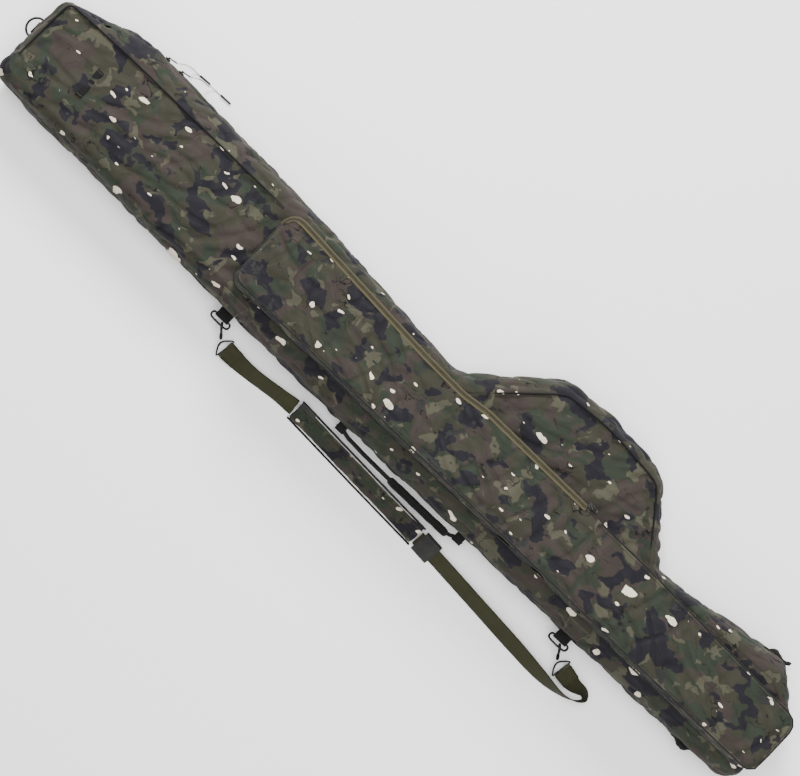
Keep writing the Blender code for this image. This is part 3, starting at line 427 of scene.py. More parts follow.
def crease(p, along, size, seed):
    # a ridge that wanders, long one way and short the other
    side = Vector((-along.y, along.x, 0))
    q = Vector((p.dot(along) * 0.30, p.dot(side), p.z)) / size
    q += noise.noise_vector(p * 9.0 + Vector((seed, 0, 0))) * 0.5
    ridge = 1 - abs(noise.noise(q + Vector((seed, seed * 0.7, 0)))) * 2.2
    return max(0.0, ridge) ** 2


def plump(obj, seams, settings):
    # pushes cloth out between its seams and lays creases in it
    mesh = obj.data
    count = len(mesh.vertices)
    normals = [v.normal.copy() for v in mesh.vertices]
    for i in range(count):
        v = mesh.vertices[i]
        p = v.co.copy()
        inner = looksInside(p)
        away = seams.find(p)[2]
        share = 1 - math.exp(-away / settings["reach"])
        swell = settings["swell"] * share * (0.22 if inner else 1.0)
        slope = settings["crease"] * min(1.0, away / 0.012)
        wave = 0.0
        for along, size, seed in settings["folds"]:
            wave += crease(p, Vector(along).normalized(), size, seed)
        wave *= slope * (0.3 if inner else 1.0)
        dent = noise.noise(p * settings["lump"]) * settings["lumpDepth"] * share * (0.2 if inner else 1.0)
        v.co = p + normals[i] * (swell - wave + dent)
        v.co.z = max(v.co.z, 0.0002 * (1 + noise.noise(p * 60)))     # the back lies on the floor
    mesh.update()


def softShell(title, nodes, settings):
    obj = mergedCopy(nodes, title)
    seams = seamLine(obj)
    cloth = obj.modifiers.new("cloth", "REMESH")
    cloth.mode = "VOXEL"
    cloth.voxel_size = settings["voxel"]
    bake(obj)
    ease = obj.modifiers.new("ease", "SMOOTH")
    ease.factor = 0.5
    ease.iterations = 6
    bake(obj)
    plump(obj, seams, settings)
    obj.data.shade_smooth()
    return obj


# ---------- padded shells ----------
foldSets = {
    "case": [((1.0, 0.25, 0), 0.030, 3.1), ((0.6, 1.0, 0), 0.042, 8.4)],
    "pocket": [((1.0, -0.35, 0), 0.028, 5.7), ((0.35, 1.0, 0), 0.040, 1.9)],
}
shellCloth = {"voxel": 0.0045, "reach": 0.022, "swell": 0.0080, "crease": 0.0042, "lump": 11.0, "lumpDepth": 0.0030,
              "folds": foldSets["case"]}
pocketCloth = {"voxel": 0.0034, "reach": 0.020, "swell": 0.0070, "crease": 0.0040, "lump": 12.0, "lumpDepth": 0.0028,
               "folds": foldSets["pocket"]}


def lineInside(obj):
    # the inner faces wear the black lining
    obj.data.materials.append(finishes["lining_fabric"])
    for face in obj.data.polygons:
        if looksInside(face.center):
            face.material_index = 1


backShell = settle(softShell("paddedBack", ["back_shell"], shellCloth), "back_shell")
lineInside(backShell)
frontShell = settle(softShell("paddedFront", ["front_shell"], shellCloth), "front_shell")
lineInside(frontShell)
gusset = settle(softShell("pocketSides", ["pocket_gusset"], dict(pocketCloth, swell=0.0035)), "pocket_gusset")
lineInside(gusset)
print("shells padded")

# the pocket's front is one cloth over the fixed panel and the loose corner
pocketFront = softShell("pocketFront", ["pocket_panel", "pocket_flap"], pocketCloth)
wearing(pocketFront, "camo_fabric")
lineInside(pocketFront)
foldJoint = next(joint for joint in frame["joints"] if joint["name"] == "flap_fold")
foldPoint, foldAxis = Vector(foldJoint["pos_m"]), Vector(foldJoint["axis"])
foldSide = Vector((-foldAxis.y, foldAxis.x, 0)).normalized()
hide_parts("pocket_panel", "pocket_flap")
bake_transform(pocketFront)
print("pocket front made")


# smooth line through a few points; any extra columns are carried along
def smoothPath(points, steps):
    rows = [np.array(p, float) for p in points]
    rows = [rows[0] * 2 - rows[1]] + rows + [rows[-1] * 2 - rows[-2]]
    path = []
    for i in range(1, len(rows) - 2):
        a, b, c, d = rows[i - 1:i + 3]
        for k in range(steps):
            t = k / steps
            path.append(0.5 * (2 * b + (c - a) * t + (2 * a - 5 * b + 4 * c - d) * t ** 2 + (3 * b - a - 3 * c + d) * t ** 3))
    path.append(rows[-2])
    return path


def lineLength(points):
    return sum((Vector(a) - Vector(b)).length for a, b in zip(points, points[1:]))


def frames(points, closed=False):
    # along, side and up at each point, turning as little as they can
    points = [Vector(p) for p in points]
    count = len(points)
    rows = []
    side = None
    for i in range(count):
        back = points[(i - 1) % count] if closed or i else points[0]
        ahead = points[(i + 1) % count] if closed or i < count - 1 else points[-1]
        along = (ahead - back).normalized()
        if side is None:
            side = along.orthogonal().normalized()
        side = (side - along * side.dot(along)).normalized()
        rows.append((points[i], along, side, along.cross(side)))
    return rows


def tubeMesh(title, points, radius, sides=12, closed=False, swell=None):
    # a round wire or cord, with rounded ends where it is open
    shape = bmesh.new()
    rings = []
    rows = frames(points, closed)
    for i, (here, along, side, up) in enumerate(rows):
        r = radius * (swell(i / max(1, len(rows) - 1)) if swell else 1.0)
        ring = []
        for k in range(sides):
            a = 2 * math.pi * k / sides
            ring.append(shape.verts.new(here + (side * math.cos(a) + up * math.sin(a)) * r))
        rings.append(ring)
    pairs = list(zip(rings, rings[1:]))
    if closed:
        pairs.append((rings[-1], rings[0]))
    for a, b in pairs:
        for k in range(sides):
            shape.faces.new((a[k], a[(k + 1) % sides], b[(k + 1) % sides], b[k]))
    if not closed:
        for ring, (here, along, side, up), way in ((rings[0], rows[0], -1), (rings[-1], rows[-1], 1)):
            top = shape.verts.new(here + along * way * radius * 0.5)
            for k in range(sides):
                shape.faces.new((ring[k], ring[(k + 1) % sides], top))
    bmesh.ops.recalc_face_normals(shape, faces=shape.faces)
    mesh = bpy.data.meshes.new(title)
    shape.to_mesh(mesh)
    shape.free()
    mesh.shade_smooth()
    return linkMesh(title, mesh)


# ---------- the two zip pull cords ----------
pullCords = {
    "a": {"slider": (-0.748, 0.138608), "route": [
        (0, 0, 0), (0.005, 0.003, -0.002), (0.010, 0.007, -0.011), (0.014, 0.010, -0.026), (0.018, 0.012, -0.042),
        (0.024, 0.013, -0.056), (0.032, 0.012, -0.0630), (0.040, 0.011, -0.0637)]},
    "b": {"slider": (-0.712, 0.136952), "route": [
        (0, 0, 0), (0.005, 0.003, -0.002), (0.010, 0.006, -0.011), (0.016, 0.009, -0.026), (0.023, 0.011, -0.042),
        (0.032, 0.012, -0.056), (0.044, 0.012, -0.0630), (0.058, 0.010, -0.0637)]},
    "turn": -2.634,
    "thick": 0.0022,
}
for side in "ab":
    row = pullCords[side]
    place = Matrix.Translation((*row["slider"], 0.065)) @ Matrix.Rotation(math.radians(pullCords["turn"]), 4, "Z")
    place = place @ Matrix.Translation((0, 0.0044, 0)) @ Matrix.Rotation(math.radians(12), 4, "Z")
    place = place @ Matrix.Translation((0.0181, 0, 0))
    route = [place @ Vector(p) for p in smoothPath(row["route"], 4)]
    strand = tubeMesh("pullCord" + side.upper(), route, pullCords["thick"] / 2, 10)
    settle(strand, "pull_cord_" + side)
    last = (route[-1] - route[-2]).normalized()
    first = route[-1] + last * 0.0006
    sleeve = [first + last * 0.026 * k / 26 for k in range(27)]
    for p in sleeve:
        p.z = 0.0024
    grip = tubeMesh("cordGrip" + side.upper(), sleeve, 0.0021, 14,
                    swell=lambda t: 1.0 - 0.12 * (math.sin(t * 40) > 0.6) - 0.35 * (max(0, abs(t - 0.5) - 0.44) / 0.06) ** 2)
    settle(grip, "cord_grip_" + side)
    lineLength(route)
    print("pull cord", side, "is", round(lineLength(route), 4), "m long")


# ---------- webbing ----------
def webbingWeave(name, colour, edge):
    # ribs across and channels along, in metres of the strap's own uv
    material, tree, shader, where = startMaterial(name)
    flat = put(tree, "ShaderNodeUVMap", uv_map="strap").outputs[0]
    ribs = put(tree, "ShaderNodeTexWave", {"Vector": flat, "Scale": 150.0, "Distortion": 0.4}, bands_direction="X")
    lanes = put(tree, "ShaderNodeTexWave", {"Vector": flat, "Scale": 95.0, "Distortion": 0.2}, bands_direction="Y")
    height = maths(tree, "MULTIPLY", ribs.outputs["Fac"], lanes.outputs["Fac"])
    cloud = put(tree, "ShaderNodeTexNoise", {"Vector": where, "Scale": 40.0, "Detail": 5.0})
    shade = put(tree, "ShaderNodeMapRange", {"Value": height, "To Min": 0.62, "To Max": 1.30})
    drift = put(tree, "ShaderNodeMapRange", {"Value": cloud.outputs["Fac"], "To Min": 0.78, "To Max": 1.2})
    amount = maths(tree, "MULTIPLY", shade.outputs[0], drift.outputs[0])
    tinted = put(tree, "ShaderNodeVectorMath", {0: colour}, operation="SCALE")
    tree.links.new(amount, tinted.inputs["Scale"])
    rim = put(tree, "ShaderNodeUVMap", uv_map="rim")
    rimSide = put(tree, "ShaderNodeSeparateXYZ", {0: rim.outputs[0]}).outputs[0]
    mask = put(tree, "ShaderNodeMapRange", {"Value": rimSide, "From Min": 0.86, "From Max": 0.97})
    tone = layOver(tree, tinted.outputs[0], (*edge, 1), mask.outputs[0])
    tree.links.new(tone, shader.inputs["Base Color"])
    rough = put(tree, "ShaderNodeMapRange", {"Value": height, "To Min": 0.9, "To Max": 0.68})
    tree.links.new(rough.outputs[0], shader.inputs["Roughness"])
    shader.inputs["Sheen Weight"].default_value = 0.02
    shader.inputs["Specular IOR Level"].default_value = 0.14
    bumpInto(tree, shader, height, 0.0005, 0.9)
    return material


finishes["strap_weave"] = webbingWeave("strapWeave", (0.036, 0.036, 0.017), (0.014, 0.014, 0.009))
finishes["black_weave"] = webbingWeave("blackWeave", (0.009, 0.009, 0.009), (0.004, 0.004, 0.004))


def acrossOf(along, tilt):
    level = Vector((-along.y, along.x, 0)).normalized()
    upright = along.cross(level)
    return level * math.cos(tilt) + upright * math.sin(tilt)


def ribbon(title, rows, width, thick, lanes=8, crown=0.0):
    # a flat strap with rounded selvedges; rows are x, y, z and tilt in degrees
    shape = bmesh.new()
    strapUv = shape.loops.layers.uv.new("strap")
    rimUv = shape.loops.layers.uv.new("rim")
    outline = []
    for k in range(lanes + 1):
        a = -1 + 2 * k / lanes
        outline.append((a, math.sqrt(max(0.0, 1 - abs(a) ** 6)) * 0.5 + 0.12))
    outline = outline + [(a, -h) for a, h in reversed(outline)]
    rings = []
    far = [0.0]
    for i, row in enumerate(rows):
        here = Vector(row[:3])
        along = (Vector(rows[min(i + 1, len(rows) - 1)][:3]) - Vector(rows[max(i - 1, 0)][:3])).normalized()
        across = acrossOf(along, math.radians(row[3]))
        face = along.cross(across).normalized()
        if i:
            far.append(far[-1] + (here - Vector(rows[i - 1][:3])).length)
        ripple = noise.noise(Vector((far[-1] * 22, width * 40, 0.3))) * crown
        ring = []
        for a, h in outline:
            bow = (1 - a * a) * ripple
            ring.append(shape.verts.new(here + across * a * width / 2 + face * (h * thick + bow)))
        rings.append(ring)
    size = len(outline)
    for i, (a, b) in enumerate(zip(rings, rings[1:])):
        for k in range(size):
            j = (k + 1) % size
            face = shape.faces.new((a[k], a[j], b[j], b[k]))
            spots = ((far[i], outline[k]), (far[i], outline[j]), (far[i + 1], outline[j]), (far[i + 1], outline[k]))
            for loop, (u, spot) in zip(face.loops, spots):
                loop[strapUv].uv = (u, spot[0] * width / 2)
                loop[rimUv].uv = (abs(spot[0]), 0)
    shape.faces.new(list(reversed(rings[0])))
    shape.faces.new(rings[-1])
    bmesh.ops.recalc_face_normals(shape, faces=shape.faces)
    mesh = bpy.data.meshes.new(title)
    shape.to_mesh(mesh)
    shape.free()
    mesh.shade_smooth()
    return linkMesh(title, mesh)


strapRows = {
    "tip": [(-0.28951, -0.18313, 0.01696, 8), (-0.255, -0.184, 0.0130, 30), (-0.215, -0.182, 0.0150, 42),
            (-0.165, -0.176, 0.0150, 42), (-0.121, -0.172, 0.0150, 30)],
    "pad": [(-0.118, -0.1740, 0.0165, 36), (-0.080, -0.1760, 0.0165, 36), (0.060, -0.183, 0.0165, 36),
            (0.218, -0.1900, 0.0165, 36)],
    "butt": [(0.2195, -0.1906, 0.015, 40), (0.300, -0.1970, 0.015, 40), (0.400, -0.2050, 0.015, 40),
             (0.500, -0.2130, 0.015, 40), (0.570, -0.2185, 0.0170, 52), (0.620, -0.2180, 0.0205, 76),
             (0.648, -0.2100, 0.0208, 88), (0.662, -0.1965, 0.0208, 98), (0.650, -0.1855, 0.0198, 118),
             (0.62487, -0.18798, 0.01333, 148), (0.59549, -0.18313, 0.01696, 172)],
    "width": 0.038,
    "thick": 0.0018,
}


def strapRun(title, node, key, steps):
    path = smoothPath(strapRows[key], steps)
    run = ribbon(title, path, strapRows["width"], strapRows["thick"], crown=0.0006)
    settle(run, node)
    run.data.materials[0] = finishes["strap_weave"]
    size = lineLength([row[:3] for row in path])
    print(title, "cut", round(size, 3), "m long")
    return run


strapTip = strapRun("strapWebbingTip", "strap_webbing_tip", "tip", 12)
strapButt = strapRun("strapWebbingButt", "strap_webbing_butt", "butt", 12)


# ---------- rows of stitches and teeth ----------
def stitchItem():
    thread = tubeMesh("stitchShape", [(-0.0014, 0, -0.0002), (-0.0009, 0, 0.0003), (0, 0, 0.00045), (0.0009, 0, 0.0003),
                                      (0.0014, 0, -0.0002)], 0.00036, 5)
    return thread


def toothItem():
    # a coil zip's tooth: a small bent rib with a fatter nose
    shape = bmesh.new()
    rows = [(-0.0022, 0.0005, 0.0009), (0.0, 0.00055, 0.0011), (0.0016, 0.0007, 0.0012), (0.0024, 0.0005, 0.0009)]
    rings = []
    for y, halfX, halfZ in rows:
        ring = []
        for k in range(6):
            a = 2 * math.pi * k / 6
            ring.append(shape.verts.new((math.cos(a) * halfX, y, math.sin(a) * halfZ)))
        rings.append(ring)
    for a, b in zip(rings, rings[1:]):
        for k in range(6):
            shape.faces.new((a[k], a[(k + 1) % 6], b[(k + 1) % 6], b[k]))
    shape.faces.new(list(reversed(rings[0])))
    shape.faces.new(rings[-1])
    bmesh.ops.recalc_face_normals(shape, faces=shape.faces)
    mesh = bpy.data.meshes.new("toothShape")
    shape.to_mesh(mesh)
    shape.free()
    return linkMesh("toothShape", mesh)


def rowTree():
    # puts one item at every pitch along a line, facing the line's up direction
    tree = bpy.data.node_groups.new("sewnRow", "GeometryNodeTree")
    for label, kind in (("Geometry", "NodeSocketGeometry"), ("Item", "NodeSocketObject"), ("Pitch", "NodeSocketFloat"),
                        ("Shift", "NodeSocketFloat"), ("Turn", "NodeSocketFloat"), ("Finish", "NodeSocketMaterial")):
        tree.interface.new_socket(label, in_out="INPUT", socket_type=kind)
    tree.interface.new_socket("Geometry", in_out="OUTPUT", socket_type="NodeSocketGeometry")
    start, end = tree.nodes.new("NodeGroupInput"), tree.nodes.new("NodeGroupOutput")
    line = put(tree, "GeometryNodeMeshToCurve", {0: start.outputs["Geometry"]})
    trimmed = put(tree, "GeometryNodeTrimCurve", {"Curve": line.outputs[0]}, mode="LENGTH")
    whole = put(tree, "GeometryNodeCurveLength", {0: line.outputs[0]})
    for i, socket in enumerate(trimmed.inputs):
        if socket.name == "Start" and socket.enabled:
            tree.links.new(start.outputs["Shift"], socket)
        if socket.name == "End" and socket.enabled:
            tree.links.new(whole.outputs[0], socket)
    spaced = put(tree, "GeometryNodeResampleCurve", {0: trimmed.outputs[0]}, mode="LENGTH")
    tree.links.new(start.outputs["Pitch"], spaced.inputs["Length"])
    item = put(tree, "GeometryNodeObjectInfo")
    tree.links.new(start.outputs["Item"], item.inputs["Object"])
    tangent = put(tree, "GeometryNodeInputTangent").outputs[0]
    up = put(tree, "GeometryNodeInputNamedAttribute", {"Name": "up"}, data_type="FLOAT_VECTOR").outputs[0]
    alongX = put(tree, "FunctionNodeAlignRotationToVector", {"Vector": tangent}, axis="X")
    upZ = put(tree, "FunctionNodeAlignRotationToVector", {"Rotation": alongX.outputs[0], "Vector": up}, axis="Z",
              pivot_axis="X")
    spin = put(tree, "ShaderNodeCombineXYZ", {"Z": start.outputs["Turn"]})
    turned = put(tree, "FunctionNodeRotateRotation", {"Rotation": upZ.outputs[0]}, rotation_space="LOCAL")
    tree.links.new(spin.outputs[0], turned.inputs["Rotate By"])
    placed = put(tree, "GeometryNodeInstanceOnPoints", {"Points": spaced.outputs[0], "Instance": item.outputs["Geometry"]})
    tree.links.new(turned.outputs[0], placed.inputs["Rotation"])
    solid = put(tree, "GeometryNodeRealizeInstances", {0: placed.outputs[0]})
    dyed = put(tree, "GeometryNodeSetMaterial", {0: solid.outputs[0]})
    tree.links.new(start.outputs["Finish"], dyed.inputs["Material"])
    tree.links.new(dyed.outputs[0], end.inputs[0])
    return tree


sewnRow = rowTree()
stitchShape, toothShape = stitchItem(), toothItem()


def rowOf(title, points, ups, item, pitch, finish, body, shift=0.0, turn=0.0, node=None):
    mesh = bpy.data.meshes.new(title)
    mesh.from_pydata([tuple(p) for p in points], [(i, i + 1) for i in range(len(points) - 1)], [])
    flow = mesh.attributes.new("up", "FLOAT_VECTOR", "POINT")
    for i, up in enumerate(ups):
        flow.data[i].vector = up
    obj = linkMesh(title, mesh)
    row = obj.modifiers.new("row", "NODES")
    row.node_group = sewnRow
    values = {"Item": item, "Pitch": pitch, "Shift": shift, "Turn": turn, "Finish": finishes[finish]}
    for socket in sewnRow.interface.items_tree:
        if socket.in_out == "INPUT" and socket.name in values:
            row[socket.identifier] = values[socket.name]
    bake(obj)
    obj.data.shade_smooth()
    wearing(obj, finish)
    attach(obj, body)
    if node:
        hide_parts(node)
    return obj


def edgeLoop(node, height, slack=0.0004, sharp=math.radians(29)):
    # the edge of a CAD piece's level face at that height, longest ring of points
    shape = bmesh.new()
    shape.from_mesh(frame["nodes"][node].data)
    bmesh.ops.remove_doubles(shape, verts=shape.verts, dist=0.00005)
    links = {}
    for edge in shape.edges:
        level = all(abs(v.co.z - height) < slack for v in edge.verts)
        if level and len(edge.link_faces) == 2 and edge.calc_face_angle(0) > sharp:
            a, b = (v.index for v in edge.verts)
            links.setdefault(a, []).append(b)
            links.setdefault(b, []).append(a)
    spots = {v.index: v.co.copy() for v in shape.verts}
    shape.free()
    loops = []
    seen = set()
    for start in links:
        if start in seen:
            continue
        ring, here, before = [start], start, None
        seen.add(start)
        while True:
            ahead = [n for n in links[here] if n != before and n not in seen]
            if not ahead:
                break
            before, here = here, ahead[0]
            seen.add(here)
            ring.append(here)
        loops.append([spots[i] for i in ring])
    return sorted(loops, key=lineLength, reverse=True)


def evenly(points, step, closed=False):
    # the same line with points a step apart
    points = [Vector(p) for p in points]
    if closed:
        points.append(points[0])
    out = [points[0].copy()]
    for a, b in zip(points, points[1:]):
        count = max(1, round((b - a).length / step))
        out += [a.lerp(b, (k + 1) / count) for k in range(count)]
    return out


def splitBand(loop):
    # the two long sides of a narrow band's outline, longest first
    count = len(loop)
    ends = sorted(range(count), key=lambda i: -turnAt(loop, i))[:4]
    ends.sort()
    runs = []
    for a, b in zip(ends, ends[1:] + [ends[0] + count]):
        runs.append([loop[i % count] for i in range(a, b + 1)])
    runs.sort(key=lineLength, reverse=True)
    return runs[0], runs[1]


def turnAt(loop, i):
    a, b, c = loop[i - 1], loop[i], loop[(i + 1) % len(loop)]
    if (b - a).length < 1e-7 or (c - b).length < 1e-7:
        return 0
    return (b - a).angle(c - b)


def middleLine(outer, inner):
    tree = kdtree.KDTree(len(inner))
    for i, p in enumerate(inner):
        tree.insert(p, i)
    tree.balance()
    return [p.lerp(tree.find(p)[0], 0.5) for p in outer]


# ---------- main zip ----------
zipLoops = edgeLoop("zip_teeth_back", 0.0640)
print("zip outline", len(zipLoops[0]), round(lineLength(zipLoops[0]), 3))
outerRun, innerRun = splitBand(zipLoops[0])
outerRun, innerRun = evenly(outerRun, 0.004), evenly(innerRun, 0.002)
zipLine = middleLine(outerRun, innerRun)
zipOut = [(a - b).normalized() for a, b in zip(outerRun, zipLine)]


def zipHalf(side, node, body, away, shift):
    # tape below or above, and a row of teeth that reaches over to the other side
    up = [out for out in zipOut]
    line = [p.copy() for p in zipLine]
    for p, out in zip(line, zipOut):
        p += out * 0.0006
        p.z = 0.065 + away * 0.0002
    row = rowOf("zipTeeth" + side, line, up, toothShape, 0.0030, "black_plastic", body, shift=shift,
                turn=0.0 if away > 0 else math.pi)
    tape = mergedCopy([node], "zipTape" + side)
    settle(tape, node, "zip_tape", body)
    return row, tape


zipHalf("Back", "zip_teeth_back", "case_back", -1, 0.0)
zipHalf("Front", "zip_teeth_front", "case_front", 1, 0.0015)
print("main zip sewn:", round(lineLength(zipLine), 3), "m")


# ---------- pocket zip ----------
flapLoop = edgeLoop("pocket_tape_flap", frame["nodes"]["pocket_tape_flap"].data.vertices[0].co.z, slack=0.002)
tapeTop = max(v.co.z for v in frame["nodes"]["pocket_tape_flap"].data.vertices)
flapLoop = edgeLoop("pocket_tape_flap", tapeTop)
pocketOuter, pocketInner = splitBand(flapLoop[0])
if pocketOuter[0].x > pocketOuter[-1].x:
    pocketOuter = pocketOuter[::-1]
if (pocketInner[0] - pocketOuter[0]).length > (pocketInner[-1] - pocketOuter[0]).length:
    pocketInner = pocketInner[::-1]
pocketZip = {"width": 0.0068, "thick": 0.0011, "pitch": 0.0026}


def outwardOf(points, inner):
    tree = kdtree.KDTree(len(inner))
    for i, p in enumerate(inner):
        tree.insert(p, i)
    tree.balance()
    return [(p - tree.find(p)[0]).normalized() for p in points]


def lyingBand(title, outer, out, width, thick, rise, finish):
    # a flat tape beside a line: it lies from the line inwards
    rows = []
    shape = bmesh.new()
    rings = []
    for p, away in zip(outer, out):
        up = Vector((0, 0, 1))
        base = p + up * rise
        ring = [base, base + up * thick * 0.6, base - away * 0.0006 + up * thick,
                base - away * width * 0.5 + up * thick * 0.8, base - away * (width - 0.0006) + up * thick,
                base - away * width + up * thick * 0.5, base - away * width]
        rings.append([shape.verts.new(q) for q in ring])
    for a, b in zip(rings, rings[1:]):
        for k in range(7):
            shape.faces.new((a[k], a[(k + 1) % 7], b[(k + 1) % 7], b[k]))
    shape.faces.new(list(reversed(rings[0])))
    shape.faces.new(rings[-1])
    bmesh.ops.recalc_face_normals(shape, faces=shape.faces)
    mesh = bpy.data.meshes.new(title)
    shape.to_mesh(mesh)
    shape.free()
    return wearing(linkMesh(title, mesh), finish)


pocketOuter = evenly(pocketOuter, 0.006)
pocketOut = outwardOf(pocketOuter, evenly(pocketInner, 0.003))
flapTape = lyingBand("pocketTapeFlap", pocketOuter, pocketOut, pocketZip["width"], pocketZip["thick"], -0.0012, "zip_tape")
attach(flapTape, "flap")
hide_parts("pocket_tape_flap")
rimEdge = [p + out * 0.0012 for p, out in zip(pocketOuter, pocketOut)]
rimTape = lyingBand("pocketTapeRim", [p + out * 0.0062 - Vector((0, 0, 0.0024)) for p, out in zip(pocketOuter, pocketOut)],
                    pocketOut, 0.0058, 0.0012, 0.0, "zip_tape")
settle(rimTape, "pocket_tape_rim", "zip_tape")
rowOf("pocketTeethFlap", [p - out * 0.0002 for p, out in zip(pocketOuter, pocketOut)], [Vector((0, 0, 1))] * len(pocketOuter),
      toothShape, pocketZip["pitch"], "black_plastic", "flap")
rowOf("pocketTeethRim", [p + out * 0.0016 - Vector((0, 0, 0.0010)) for p, out in zip(pocketOuter, pocketOut)],
      [Vector((0, 0, 1))] * len(pocketOuter), toothShape, pocketZip["pitch"], "black_plastic", "case_front",
      shift=0.0013, turn=math.pi)
print("pocket zip sewn")


# ---------- stitching on the padded cloth ----------
def treeOf(obj):
    shape = bmesh.new()
    shape.from_mesh(obj.data)
    tree = BVHTree.FromBMesh(shape)
    shape.free()
    return tree


def dropOnto(tree, points, lift=0.0):
    spots, ups = [], []
    for p in points:
        hit, normal = tree.ray_cast(Vector((p.x, p.y, 0.30)), Vector((0, 0, -1)))[:2]
        if hit is not None:
            spots.append(hit + normal * lift)
            ups.append(normal)
    return spots, ups


def insetLine(points, away, closed=True):
    # moves a level line sideways; positive goes inwards on an anticlockwise ring
    out = []
    count = len(points)
    for i, p in enumerate(points):
        back = points[i - 1] if closed or i else p
        ahead = points[(i + 1) % count] if closed or i < count - 1 else p
        along = (ahead - back).normalized()
        out.append(p + Vector((-along.y, along.x, 0)) * away)
    return out


def anticlockwise(points):
    area = sum(a.x * b.y - b.x * a.y for a, b in zip(points, points[1:] + points[:1]))
    return points if area > 0 else points[::-1]


frontTree, pocketTree = treeOf(frontShell), treeOf(pocketFront)
frontRing = anticlockwise(edgeLoop("front_shell", 0.125)[0])
frontRing = evenly(frontRing, 0.006, closed=True)
underPocket = treeOf(frame["nodes"]["pocket_gusset"])


def openStretches(points):
    # the parts of a line that the pocket's sides don't cover
    runs, run = [], []
    for p in points:
        if underPocket.ray_cast(Vector((p.x, p.y, 0.30)), Vector((0, 0, -1)))[0] is None:
            run.append(p)
        else:
            if len(run) > 4:
                runs.append(run)
            run = []
    if len(run) > 4:
        runs.append(run)
    return runs


def sew(title, tree, points, body, pitch=0.0036, finish="black_binding", lift=0.0001):
    spots, ups = dropOnto(tree, points, lift)
    if len(spots) > 2:
        return rowOf(title, spots, ups, stitchShape, pitch, finish, body)


for number, run in enumerate(openStretches(insetLine(frontRing, 0.0085))):
    sew("frontStitch%d" % number, frontTree, run, "case_front")
panelRing = anticlockwise(edgeLoop("pocket_panel", 0.1796, slack=0.0006)[0])
print("seams sewn")


# ---------- piping ----------
def twistedPipe(title, node, lift=0.0004):
    # piping is a cord in a folded strip; the CAD piping is rounded and lifted to sit on the padded cloth
    obj = mergedCopy([node], title)
    rounder = obj.modifiers.new("rounder", "SUBSURF")
    rounder.levels = rounder.render_levels = 1
    bake(obj)
    for v in obj.data.vertices:
        hit = frontTree.ray_cast(Vector((v.co.x, v.co.y, 0.30)), Vector((0, 0, -1)))[0]
        if hit is not None:
            v.co.z += max(0.0, hit.z - 0.1253) + lift
    obj.data.shade_smooth()
    return settle(obj, node)


tipPipe = twistedPipe("tipPiping", "tip_binding")
pouchPipe = twistedPipe("pouchPiping", "pouch_binding")


def pipeCentre(node):
    # the points of a bent tube, with doubles merged
    shape = bmesh.new()
    shape.from_mesh(frame["nodes"][node].data)
    bmesh.ops.remove_doubles(shape, verts=shape.verts, dist=0.00005)
    spots = np.array([v.co for v in shape.verts])
    shape.free()
    return spots


# ---------- shoulder pad ----------
def cushionSim(obj, pressure, cap, pinned=None, steps=20, stiff=12.0):
    # blows the cloth up a little; no point may move further than the cap
    start = np.array([v.co for v in obj.data.vertices])
    cloth = obj.modifiers.new("cloth", "CLOTH")
    cloth.settings.quality = 5
    cloth.settings.mass = 0.2
    cloth.settings.tension_stiffness = stiff
    cloth.settings.compression_stiffness = stiff
    cloth.settings.shear_stiffness = stiff / 2
    cloth.settings.bending_stiffness = 0.3
    cloth.settings.use_pressure = True
    cloth.settings.uniform_pressure_force = pressure
    cloth.settings.effector_weights.gravity = 0
    cloth.point_cache.frame_start = 1
    cloth.point_cache.frame_end = steps
    if pinned is not None:
        pins = obj.vertex_groups.new(name="pins")
        for i, weight in enumerate(pinned):
            if weight > 0:
                pins.add([i], float(weight), "REPLACE")
        cloth.settings.vertex_group_mass = "pins"
    scene = bpy.context.scene
    for step in range(1, steps + 1):
        scene.frame_set(step)
    done = obj.evaluated_get(bpy.context.evaluated_depsgraph_get()).to_mesh()
    moved = np.array([v.co for v in done.vertices]) - start
    obj.modifiers.clear()
    obj.vertex_groups.clear()
    scene.frame_set(1)
    size = np.linalg.norm(moved, axis=1)
    share = np.minimum(1.0, cap / np.maximum(size, 1e-9))
    final = start + moved * share[:, None]
    obj.data.vertices.foreach_set("co", final.ravel())
    obj.data.update()
    print(obj.name, "simulated: most", round(float(size.max()) * 1000, 1), "mm")
    return obj


def remeshed(obj, voxel, ease=4):
    cloth = obj.modifiers.new("remesh", "REMESH")
    cloth.mode = "VOXEL"
    cloth.voxel_size = voxel
    smooth = obj.modifiers.new("ease", "SMOOTH")
    smooth.factor = 0.5
    smooth.iterations = ease
    return bake(obj)


def subdivided(obj):
    finer = obj.modifiers.new("finer", "SUBSURF")
    finer.levels = finer.render_levels = 1
    bake(obj)
    obj.data.shade_smooth()
    return obj


padPath = smoothPath(strapRows["pad"], 24)
shoulderPad = ribbon("shoulderPad", padPath, 0.052, 0.0075, lanes=10)
remeshed(shoulderPad, 0.0032)
cushionSim(shoulderPad, 4.0, 0.0035)
subdivided(shoulderPad)
padTree = kdtree.KDTree(len(padPath))
for i, row in enumerate(padPath):
    padTree.insert(Vector(row[:3]), i)
padTree.balance()


def padPlace(p):
    # how far along the pad, across it and off its middle
    spot, i, _ = padTree.find(p)
    along = (Vector(padPath[min(i + 1, len(padPath) - 1)][:3]) - Vector(padPath[max(i - 1, 0)][:3])).normalized()
    across = acrossOf(along, math.radians(padPath[i][3]))
    face = along.cross(across)
    return (p - spot).dot(across), (p - spot).dot(face), face, across, along


